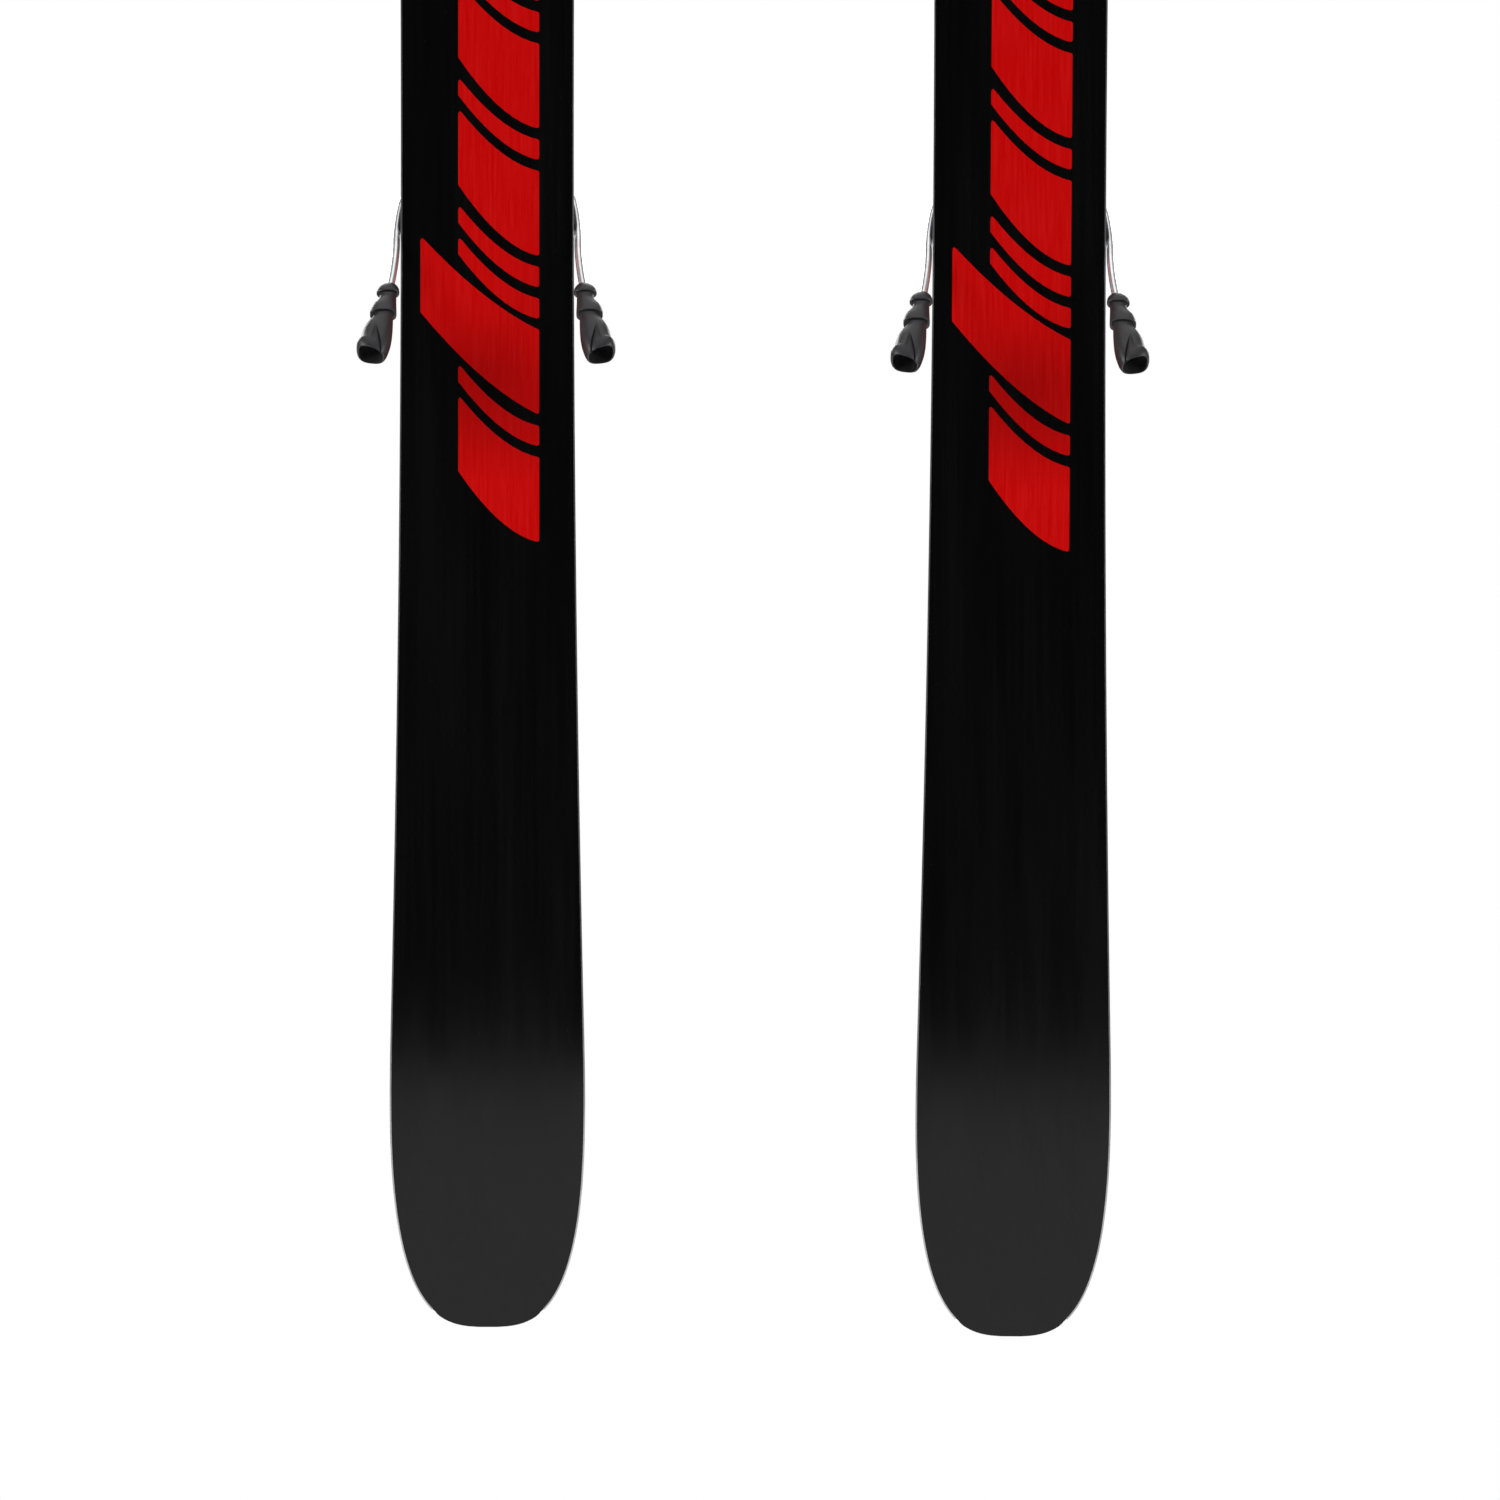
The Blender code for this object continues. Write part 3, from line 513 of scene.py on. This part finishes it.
def ski_sidewall(side, matrix):
    """Slopes in from the edge to the topsheet, with a small step where it meets the steel."""
    foot = side_line(SIDEWALL_FOOT)
    step = side_line(SIDEWALL_FOOT + SIDEWALL_STEP)
    shoulder = side_line(SIDEWALL_SHOULDER)
    inner = side_line(SIDEWALL_INNER)
    right = []
    for low, mid, high, into in zip(foot, step, shoulder, inner):
        bottom, top = under_core(low.y), over_core(high.y) - SEAM
        right.append([(low.x, bottom, low.y),
                      (mid.x, bottom + (top - bottom) * SIDEWALL_STEP_SHARE, mid.y),
                      (high.x, top, high.y),
                      (into.x, over_core(into.y) - SEAM, into.y),
                      (into.x, under_core(into.y), into.y)])
    left = [[(-x, y, z) for x, y, z in ring] for ring in reversed(right)]
    bm = loft(right + left, closed=True)
    piece(side + "_sidewall_strip", bm, "sidewall", side + "_ski", matrix, [side + "_sidewall"])


def ski_topsheet(side, matrix):
    """The printed sheet, crowned at its rim."""
    foot = side_line(SIDEWALL_SHOULDER)
    rim = side_line(SIDEWALL_SHOULDER + TOPSHEET_RIM)
    crown = side_line(SIDEWALL_SHOULDER + TOPSHEET_BEVEL)
    rings = []
    for low, mid, top in zip(foot, rim, crown):
        bottom, high = over_core(low.y), top_height(top.y)
        half_way = over_core(mid.y) + TOPSHEET_THICKNESS * TOPSHEET_RIM_SHARE
        rings.append([(-low.x, bottom, low.y), (low.x, bottom, low.y), (mid.x, half_way, mid.y),
                      (top.x, high, top.y), (-top.x, high, top.y), (-mid.x, half_way, mid.y)])
    piece(side + "_topsheet_print", loft(rings), "topsheet", side + "_ski", matrix,
          [side + "_topsheet"], sharp=50.0)


# The base graphic: a column of feathers, in millimetres from the centre line and the tail end

COLUMN_LEFT, COLUMN_RIGHT = -18.5, 33.0
FEATHER_RISE, FEATHER_LIFT = 40.0, 5.0
LONG_FEATHER, LONG_LEFT, LONG_RISE, LONG_LIFT = 2, -42.5, 60.0, 17.0
FEATHER_GAP, FEATHER_CORNER = 7.0, 1.6
FEATHER_BEND_SHARE, FEATHER_TIP_SHARE = 0.53, 0.90
WIDE_FEATHER, THIN_FEATHER = 54.0, 13.0
RHYTHM = (WIDE_FEATHER, THIN_FEATHER, WIDE_FEATHER, THIN_FEATHER, THIN_FEATHER)
GRAPHIC_FROM, GRAPHIC_TO = 500.0, 1360.0
FEATHER_STEPS, CORNER_STEPS = 9, 3
INLAY_THICKNESS = BASE_THICKNESS * 0.3


def bend(start, control, end, steps):
    """A curve from start to end, drawn towards the control point."""
    shares = [k / steps for k in range(steps + 1)]
    return [start * (1 - t) ** 2 + control * 2 * t * (1 - t) + end * t ** 2 for t in shares]


def feather(low, high, left=COLUMN_LEFT, rise=FEATHER_RISE, lift=FEATHER_LIFT):
    """Straight along the column's right side, swept up to a slimmer end on the left."""
    tip = (high - low) * FEATHER_TIP_SHARE
    middle = left + FEATHER_BEND_SHARE * (COLUMN_RIGHT - left)
    lower = (left, high + rise - tip), (middle, low + lift), (COLUMN_RIGHT, low)
    upper = (COLUMN_RIGHT, high), (middle, high + lift), (left, high + rise)
    return [point for curve in (lower, upper) for point in bend(*map(Vector, curve), FEATHER_STEPS)]


def graphic():
    """Wide and thin feathers in a steady rhythm, one of them longer."""
    shapes = []
    low = GRAPHIC_FROM
    while low < GRAPHIC_TO:
        high = low + RHYTHM[len(shapes) % len(RHYTHM)]
        reach = (LONG_LEFT, LONG_RISE, LONG_LIFT) if len(shapes) == LONG_FEATHER else ()
        shapes.append(feather(low, high, *reach))
        low = high + FEATHER_GAP
    return shapes


def rounded(corners, radius, steps):
    """The same outline with each corner rounded, as far as its two sides leave room."""
    found = []
    for i, corner in enumerate(corners):
        back = corners[i - 1] - corner
        ahead = corners[(i + 1) % len(corners)] - corner
        reach = min(radius / math.tan(back.angle(ahead) / 2), back.length * 0.45, ahead.length * 0.45)
        start, end = corner + back.normalized() * reach, corner + ahead.normalized() * reach
        found += bend(start, corner, end, steps)
    return found


def base_inlay(side, matrix):
    """Each red shape is a thin plate let into the base, flush with its surface."""
    plates = []
    for outline in graphic():
        points = rounded(outline, FEATHER_CORNER, CORNER_STEPS)
        plates.append(loft([[(x * MM, y, z * MM) for x, z in points] for y in (0.0, INLAY_THICKNESS)]))
    piece(side + "_base_inlay", together(plates), "base_red", side + "_ski", matrix)


# Brake arms and feet, built in the brake's own frame with the arms level, as they lie when stepped down

BRAKE_DROP = math.radians(40)
BRAKE_PIVOT = Vector((0.0, DECK + 0.009, 0.722))
WIRE_RADIUS, WIRE_SIDES, WIRE_STEPS = 0.0025, 20, 6

# The right arm from the axle's middle to inside the foot: mm out from the ski's middle and along the arm
ARM_PATH = ((0, 0), (25, 0), (46.5, 0), (51.0, -1.2), (53.6, -4.4), (54.8, -8.5), (55.8, -14), (56.8, -22),
            (57.5, -30), (57.9, -38), (58.0, -46), (58.4, -54), (59.2, -63), (60.0, -70), (60.9, -76.4),
            (62.2, -88))


def brake_matrix(matrix):
    return matrix @ Matrix.Translation(BRAKE_PIVOT) @ Matrix.Rotation(-BRAKE_DROP, 4, "X")


def spline(points, steps):
    """A smooth curve through points, Catmull-Rom."""
    padded = [points[0] * 2 - points[1]] + points + [points[-1] * 2 - points[-2]]
    found = []
    for a, b, c, d in zip(padded, padded[1:], padded[2:], padded[3:]):
        for k in range(steps):
            t = k / steps
            found.append(0.5 * ((2 * b) + (c - a) * t + (2 * a - 5 * b + 4 * c - d) * t ** 2
                                + (3 * b - a - 3 * c + d) * t ** 3))
    return found + [points[-1]]


def tube(path, radius, sides):
    """A round bar along a path, its rings turned as little as the path allows."""
    across = None
    rings = []
    for i, point in enumerate(path):
        along = (path[min(i + 1, len(path) - 1)] - path[max(i - 1, 0)]).normalized()
        across = along.orthogonal() if across is None else across
        across = (across - along * across.dot(along)).normalized()
        rings.append(circle(point, across, along.cross(across), radius, sides))
    return loft(rings)


def brake_wire(side, matrix):
    """The axle and both arms, bent from one wire."""
    right = [Vector((x * MM, 0, z * MM)) for x, z in ARM_PATH]
    left = [Vector((-p.x, p.y, p.z)) for p in reversed(right[1:])]
    bm = tube(spline(left + right, WIRE_STEPS), WIRE_RADIUS, WIRE_SIDES)
    piece(side + "_brake_arms", bm, "wire", side + "_brake_body", brake_matrix(matrix),
          [side + "_brake_wire"], sharp=80.0)


# The foot's rings, in mm: how far past its top, the inner and the outer side from the ski's middle, the half
# height, and last how square the ring is. The last rings go back up inside the mouth
FOOT_TOP = -78.4
FOOT_PROFILE = (
    (-1.6, 59.6, 63.0, 1.6, 2.0), (-1.3, 58.4, 64.4, 2.6, 2.0), (-0.4, 57.2, 66.2, 3.3, 2.0),
    (1.0, 56.2, 68.0, 3.9, 2.1), (2.8, 55.5, 69.2, 4.3, 2.3), (4.8, 55.3, 69.8, 4.5, 2.6),
    (6.0, 55.4, 69.8, 4.5, 2.6), (6.5, 55.7, 69.5, 4.3, 2.6), (6.2, 57.1, 68.2, 3.4, 2.6),
    (7.2, 57.2, 67.9, 3.3, 2.6), (10.5, 57.2, 67.8, 3.9, 2.7), (12.5, 57.2, 68.6, 4.5, 2.8),
    (16.5, 57.1, 71.6, 5.4, 2.9), (19.5, 57.0, 73.0, 5.9, 2.9), (22.6, 56.9, 73.8, 6.2, 2.9),
    (23.9, 57.0, 73.8, 6.2, 2.9), (24.3, 57.4, 73.4, 6.0, 2.9), (23.9, 58.8, 71.6, 5.0, 2.7),
    (25.2, 59.1, 71.2, 5.1, 2.7), (28.0, 59.1, 72.2, 5.6, 2.8), (31.5, 59.1, 74.8, 6.3, 2.8),
    (35.5, 59.2, 76.8, 7.0, 2.9), (38.0, 59.3, 77.7, 7.3, 2.9), (39.5, 59.4, 78.1, 7.4, 2.9),
    (41.0, 59.5, 78.5, 7.6, 2.8), (43.0, 59.6, 78.9, 7.7, 2.8), (45.3, 59.9, 79.2, 7.9, 2.9),
    (47.5, 60.2, 79.5, 8.0, 2.9), (49.5, 60.6, 79.8, 8.1, 3.0), (50.5, 60.8, 80.8, 8.2, 3.0),
    (54.0, 61.7, 81.8, 8.0, 3.0), (57.0, 62.6, 81.9, 7.7, 2.9), (59.3, 63.7, 81.5, 7.2, 2.8),
    (60.1, 64.2, 81.1, 6.9, 2.7), (60.3, 64.7, 80.7, 6.5, 2.7), (60.0, 65.1, 80.3, 6.2, 2.7),
    (57.0, 64.7, 80.3, 6.2, 2.7), (52.0, 64.2, 79.0, 5.8, 2.6), (47.0, 65.6, 76.5, 4.4, 2.4),
    (44.5, 68.5, 73.5, 1.8, 2.2))
MOUTH_RINGS = 6
MOUTH_FROM, MOUTH_FULL, MOUTH_SKEW, MOUTH_TOP_SHARE = 45.0, 58.0, 7.0, 0.35

# The sunk facet: its middle line, where it starts and ends, its half width at the end and at the point, its
# depth, the share of its width that its steep inner wall takes, and how its two sides spread
FACET_MIDDLE, FACET_FROM, FACET_TO = 70.2, 37.5, 56.0
FACET_HALF, FACET_POINT, FACET_DEPTH, FACET_WALL = 4.0, 0.15, 1.7, 0.06
FACET_INNER_POWER, FACET_OUTER_POWER = 0.6, 0.9


def facet(reach):
    """The pointed facet under the body: where its inner and outer side lie, and how deep it is let in."""
    share = min(max((reach - FACET_FROM) / (FACET_TO - FACET_FROM), 0.0), 1.0)
    inner = FACET_MIDDLE - FACET_POINT - FACET_HALF * share ** FACET_INNER_POWER
    outer = FACET_MIDDLE + FACET_POINT + FACET_HALF * share ** FACET_OUTER_POWER
    return inner, outer, FACET_DEPTH * min(1.0, share * 3)


def under_angle(x, middle, half_across, power):
    """The angle on a ring's lower half at which it passes x."""
    share = min(max((x - middle) / half_across, -0.98), 0.98)
    return 2 * math.pi - math.acos(math.copysign(abs(share) ** (power / 2), share))


def foot_ring(section, sign, inside):
    """One ring of the foot. Near the mouth the outer, under side is cut back."""
    reach, inner, outer, half_up, power = section
    middle, half_across = (inner + outer) / 2, (outer - inner) / 2
    facet_inner, facet_outer, depth = facet(reach)
    wall, crease = (under_angle(x, middle, half_across, power) for x in (facet_inner, facet_outer))
    floor = wall + (crease - wall) * FACET_WALL
    # Each span is its first and last angle and the steps between them
    spans = ((0.0, math.pi, 28), (math.pi, wall, 12), (wall, floor, 1), (floor, crease, 7),
             (crease, 2 * math.pi, 12))
    late = min(max((reach - MOUTH_FROM) / (MOUTH_FULL - MOUTH_FROM), 0.0), 1.0)
    ring = []
    for first, last, steps in spans:
        for k in range(steps):
            angle = first + (last - first) * k / steps
            c, s = math.cos(angle), math.sin(angle)
            x = math.copysign(abs(c) ** (2 / power), c) * half_across
            y = math.copysign(abs(s) ** (2 / power), s) * half_up
            under, outward = 0.5 - 0.5 * y / half_up, 0.5 + 0.5 * x / half_across
            cut_back = late * MOUTH_SKEW * outward * (MOUTH_TOP_SHARE + (1 - MOUTH_TOP_SHARE) * under)
            if wall < angle < crease and not inside:
                y += depth * (crease - angle) / (crease - wall)
            ring.append((sign * (middle + x) * MM, y * MM, (FOOT_TOP - reach + cut_back) * MM))
    return ring


def brake_foot(side, hand, sign, matrix):
    """Two skirted collars, then a body that flares outwards, with a sunk facet and a hollow mouth."""
    node = f"{side}_brake_foot_{hand}"
    inside_from = len(FOOT_PROFILE) - MOUTH_RINGS
    rings = [foot_ring(section, sign, i >= inside_from) for i, section in enumerate(FOOT_PROFILE)]
    piece(node + "_moulding", loft(rings), "foot", side + "_brake_body", brake_matrix(matrix),
          [node], sharp=26.0)


# Binding pieces keep their CAD shape, cleaned of flat triangles and with rounded edges. A row holds the
# piece's finish, its body and how wide the rounding is

BINDING = {
    "toe_base_plate": ("plastic", "ski", 0.0008),
    "toe_housing": ("shell", "ski", 0.0012),
    "toe_wing_left": ("plastic", "toe_wing_left_body", 0.0010),
    "toe_wing_right": ("plastic", "toe_wing_right_body", 0.0010),
    "afd_plate": ("glide", "afd_body", 0.0006),
    "heel_track": ("track", "ski", 0.0005),
    "heel_carriage": ("plastic", "heel_carriage_body", 0.0010),
    "heel_housing": ("shell", "heel_cup_body", 0.0012),
    "heel_lever": ("plastic", "heel_lever_body", 0.0012),
    "brake_base": ("plastic", "ski", 0.0009),
    "brake_pedal": ("plastic", "brake_body", 0.0010),
}
SAME_POINT, SAME_PLANE = 0.00002, math.radians(2)
KEPT = {"core": "wood", "toe_spring": "spring", "toe_piston": "spring", "heel_spring": "spring",
        "toe_adjust_screw": "adjuster", "heel_adjust_screw": "adjuster", "heel_pivot_pin": "screw"}


def binding_piece(side, name, finish, body, width):
    node = f"{side}_{name}"
    bm = bmesh.new()
    bm.from_mesh(frame["nodes"][node].data)
    bmesh.ops.remove_doubles(bm, verts=bm.verts, dist=SAME_POINT)
    bmesh.ops.dissolve_limit(bm, angle_limit=SAME_PLANE, verts=bm.verts, edges=bm.edges)
    made = piece(node + "_moulding", bm, finish, f"{side}_{body}", Matrix.Identity(4), [node])
    bevelled(made, width)


def turned(centre, direction, profile, sides=28):
    """A round piece about an axis through centre, from (distance along the axis, radius) in mm."""
    along = Vector(direction)
    across = along.orthogonal().normalized()
    rings = []
    for distance, radius in profile:
        middle = Vector(centre) + along * distance * MM
        rings.append(circle(middle, across, along.cross(across), radius * MM, sides))
    return loft(rings)


def box(low, high):
    """A bar given by two opposite corners in mm."""
    (x0, y0, z0), (x1, y1, z1) = low, high
    return loft([[(x * MM, y * MM, z * MM) for x, y in ((x0, y0), (x1, y0), (x1, y1), (x0, y1))]
                 for z in (z0, z1)])


# Small pieces, in mm in the ski's own frame. A turned profile is (distance along the axis, radius)

DECK_MM = DECK / MM
TOE_PLATE_TOP, TRACK_TOP = DECK_MM + 5.3, DECK_MM + 6.3
ROOF_TOP, HEEL_PAD_TOP = DECK_MM + 49.6, DECK_MM + 18.0
SCREW_HEAD = ((-9.0, 1.2), (-6.0, 2.75), (0.4, 2.75), (0.4, 4.5), (1.3, 4.5), (2.1, 4.1), (2.6, 3.3),
              (2.6, 2.0), (2.1, 1.8), (1.2, 1.6))
TOE_SCREWS = (("left", -29.0, 997.5), ("right", 29.0, 997.5),
              ("front_left", -33.5, 1066.0), ("front_right", 33.5, 1066.0))
HEEL_SCREWS = (("left", -24.0, 568.0), ("right", 24.0, 568.0), ("middle", 0.0, 574.0))

WING_POST_X, WING_POST_Z = 24.5, 1035.0
WING_PIN = ((45.0, 3.4), (50.0, 3.4), (50.5, 3.0), (50.5, 1.4), (49.8, 1.2))

WINDOW_HALF, WINDOW_FROM, WINDOW_TO = 6.0, 1048.0, 1064.0
PANE_HALF, PANE_FROM, PANE_TO = 4.6, 1050.0, 1062.0
FRAME_RISE, PANE_RISE, TICK_RISE, POINTER_RISE = 0.35, 0.05, 0.12, 0.15
FRAME_ROOT, MARK_ROOT, FRAME_ROUND = 2.0, 1.0, 0.3
TICKS, TICK_LEFT, TICK_RIGHT, TICK_WIDTH = (1051.5, 1053.5, 1055.5, 1057.5, 1059.5), -3.5, 0.5, 0.5
POINTER_LEFT, POINTER_RIGHT, POINTER_FROM, POINTER_TO = 1.0, 4.2, 1055.1, 1056.3

PRESSURE_SCREW_AT = (0, DECK + 0.0125, 0.603)
PRESSURE_SCREW = ((1.5, 4.6), (-2.0, 4.6), (-3.0, 4.0), (-3.0, 2.2), (-1.6, 2.0))
PAD_NEAR, PAD_FAR, PAD_RIBS = 25.2, 33.6, range(711, 770, 8)
PAD_RIB_ROOT, PAD_RIB_RISE, PAD_RIB_LENGTH, PAD_RIB_ROUND = 1.0, 0.45, 3.2, 0.4

# In the brake's own frame
PEDAL_HALF, PEDAL_RIBS, PEDAL_RIB_LENGTH = 17.5, (12, 19, 26, 33, 40), 2.4
PEDAL_RIB_ROOT, PEDAL_RIB_TOP, PEDAL_RIB_ROUND = 7.5, 9.1, 0.5


def screws(side, matrix, group, spots, seat):
    for hand, x, z in spots:
        node = f"{side}_{group}_screw_{hand}"
        bm = turned((x * MM, seat * MM, z * MM), (0, 1, 0), SCREW_HEAD)
        piece(node + "_head", bm, "screw", side + "_ski", matrix,
              [node] if hand in ("left", "right") else ())


def wing_pins(side, matrix):
    """The steel heads of the wings' posts, standing through the roof."""
    for hand, sign in (("left", -1), ("right", 1)):
        bm = turned((sign * WING_POST_X * MM, DECK, WING_POST_Z * MM), (0, 1, 0), WING_PIN)
        piece(f"{side}_toe_wing_pin_{hand}", bm, "screw", side + "_ski", matrix)


def setting_window(side, matrix):
    """A small pane on the roof, in a frame, with a plain scale and a pointer on it."""
    root, rim = ROOF_TOP - FRAME_ROOT, ROOF_TOP + FRAME_RISE
    bars = [((-WINDOW_HALF, WINDOW_FROM), (WINDOW_HALF, PANE_FROM)),
            ((-WINDOW_HALF, PANE_TO), (WINDOW_HALF, WINDOW_TO)),
            ((-WINDOW_HALF, PANE_FROM), (-PANE_HALF, PANE_TO)),
            ((PANE_HALF, PANE_FROM), (WINDOW_HALF, PANE_TO))]
    bm = together([box((x0, root, z0), (x1, rim, z1)) for (x0, z0), (x1, z1) in bars])
    made = piece(side + "_toe_window_frame", bm, "plastic", side + "_ski", matrix)
    bevelled(made, FRAME_ROUND * MM)
    strip = box((-PANE_HALF, root, PANE_FROM), (PANE_HALF, ROOF_TOP + PANE_RISE, PANE_TO))
    piece(side + "_toe_window_scale", strip, "glide", side + "_ski", matrix)
    root, top = ROOF_TOP - MARK_ROOT, ROOF_TOP + TICK_RISE
    marks = [box((TICK_LEFT, root, z), (TICK_RIGHT, top, z + TICK_WIDTH)) for z in TICKS]
    top = ROOF_TOP + POINTER_RISE
    marks.append(box((POINTER_LEFT, root, POINTER_FROM), (POINTER_RIGHT, top, POINTER_TO)))
    piece(side + "_toe_window_marks", together(marks), "shell", side + "_ski", matrix)


def pressure_screw(side, matrix):
    """The forward-pressure screw at the carriage's back."""
    bm = turned(PRESSURE_SCREW_AT, (0, 0, 1), PRESSURE_SCREW)
    piece(side + "_forward_pressure_screw", bm, "adjuster", side + "_heel_carriage_body", matrix)


def grip_ribs(side, matrix):
    """Low ribs across the brake's two heel pads and its pedal."""
    root, top = HEEL_PAD_TOP - PAD_RIB_ROOT, HEEL_PAD_TOP + PAD_RIB_RISE
    for hand, sign in (("left", -1), ("right", 1)):
        near, far = sorted((sign * PAD_NEAR, sign * PAD_FAR))
        bm = together([box((near, root, z), (far, top, z + PAD_RIB_LENGTH)) for z in PAD_RIBS])
        made = piece(f"{side}_heel_pad_ribs_{hand}", bm, "plastic", side + "_ski", matrix)
        bevelled(made, PAD_RIB_ROUND * MM)
    ribs = [((-PEDAL_HALF, PEDAL_RIB_ROOT, z), (PEDAL_HALF, PEDAL_RIB_TOP, z + PEDAL_RIB_LENGTH))
            for z in PEDAL_RIBS]
    made = piece(side + "_brake_pedal_ribs", together([box(*rib) for rib in ribs]), "plastic",
                 side + "_brake_body", brake_matrix(matrix))
    bevelled(made, PEDAL_RIB_ROUND * MM)


def keep(side):
    """Pieces shown with their CAD mesh as it is."""
    for name, finish in KEPT.items():
        obj = frame["nodes"][f"{side}_{name}"]
        obj.data.materials.clear()
        obj.data.materials.append(MATERIALS[finish])


def build(side):
    matrix = ski_matrix(side)
    ski_base(side, matrix)
    base_inlay(side, matrix)
    ski_edge(side, "left", -1, matrix)
    ski_edge(side, "right", 1, matrix)
    ski_sidewall(side, matrix)
    ski_topsheet(side, matrix)
    brake_wire(side, matrix)
    brake_foot(side, "left", -1, matrix)
    brake_foot(side, "right", 1, matrix)
    for name, row in BINDING.items():
        binding_piece(side, name, *row)
    screws(side, matrix, "toe", TOE_SCREWS, TOE_PLATE_TOP)
    screws(side, matrix, "heel", HEEL_SCREWS, TRACK_TOP)
    wing_pins(side, matrix)
    setting_window(side, matrix)
    pressure_screw(side, matrix)
    grip_ribs(side, matrix)
    keep(side)


# Studio

def studio_floor(tail_z):
    bm = bmesh.new()
    bmesh.ops.create_circle(bm, cap_ends=True, segments=96, radius=FLOOR_RADIUS)
    mesh = bpy.data.meshes.new("floor")
    bm.to_mesh(mesh)
    bm.free()
    floor = bpy.data.objects.new("floor", mesh)
    floor.location = (0, 0, tail_z - FLOOR_BELOW_TAILS)
    bpy.context.scene.collection.objects.link(floor)
    pale = bpy.data.materials.new("floor")
    pale.use_nodes = True
    shader = pale.node_tree.nodes["Principled BSDF"]
    shader.inputs["Base Color"].default_value = FLOOR_TONE
    shader.inputs["Roughness"].default_value = 0.8
    shader.inputs["Emission Color"].default_value = WHITE
    shader.inputs["Emission Strength"].default_value = FLOOR_GLOW
    mesh.materials.append(pale)


def studio_world():
    """White to the eye. What the pieces reflect is a soft grey room, dark behind the camera."""
    world = bpy.data.worlds.new("studio")
    bpy.context.scene.world = world
    world.use_nodes = True
    tree = world.node_tree
    tree.nodes.clear()
    new = tree.nodes.new
    place = new("ShaderNodeTexCoord")
    split = new("ShaderNodeSeparateXYZ")
    tree.links.new(place.outputs["Generated"], split.inputs[0])
    dark = new("ShaderNodeMapRange")
    dark.interpolation_type = "SMOOTHSTEP"
    dark.inputs["From Min"].default_value = DARK_ENDS
    dark.inputs["From Max"].default_value = LIGHT_STARTS
    dark.inputs["To Min"].default_value = ROOM_DARK
    dark.inputs["To Max"].default_value = ROOM_LIGHT
    tree.links.new(split.outputs["Y"], dark.inputs["Value"])
    room = new("ShaderNodeBackground")
    room.inputs["Color"].default_value = WHITE
    tree.links.new(dark.outputs["Result"], room.inputs["Strength"])
    seen = new("ShaderNodeBackground")
    seen.inputs["Color"].default_value = WHITE
    seen.inputs["Strength"].default_value = 1.0
    rays = new("ShaderNodeLightPath")
    mix = new("ShaderNodeMixShader")
    tree.links.new(rays.outputs["Is Camera Ray"], mix.inputs[0])
    tree.links.new(room.outputs[0], mix.inputs[1])
    tree.links.new(seen.outputs[0], mix.inputs[2])
    out = new("ShaderNodeOutputWorld")
    tree.links.new(mix.outputs[0], out.inputs[0])


def soft_light(name, location, target, size, power):
    light = bpy.data.lights.new(name, "AREA")
    light.size = size
    light.energy = power * LAMP_LIGHT
    obj = bpy.data.objects.new(name, light)
    obj.location = location
    obj.rotation_euler = (target - location).to_track_quat("-Z", "Y").to_euler()
    bpy.context.scene.collection.objects.link(obj)


def camera(tail_z):
    data = bpy.data.cameras.new("camera")
    data.sensor_width = SENSOR
    data.lens = SENSOR * VIEW_DISTANCE / VIEW_SPAN
    data.clip_end = 100
    obj = bpy.data.objects.new("camera", data)
    obj.location = (0, -VIEW_DISTANCE, tail_z + VIEW_ABOVE_TAIL)
    obj.rotation_euler = (math.radians(90), 0, 0)
    bpy.context.scene.collection.objects.link(obj)
    bpy.context.scene.camera = obj


def studio():
    tail_z = ski_matrix("left").translation.z
    bpy.context.scene.view_settings.view_transform = "Standard"
    camera(tail_z)
    studio_floor(tail_z)
    studio_world()
    middle = Vector((0, 0, tail_z + VIEW_ABOVE_TAIL))
    for name, offset, size, power in LAMPS:
        soft_light(name, middle + Vector(offset), middle, size, power)


studio()
build("left")
build("right")
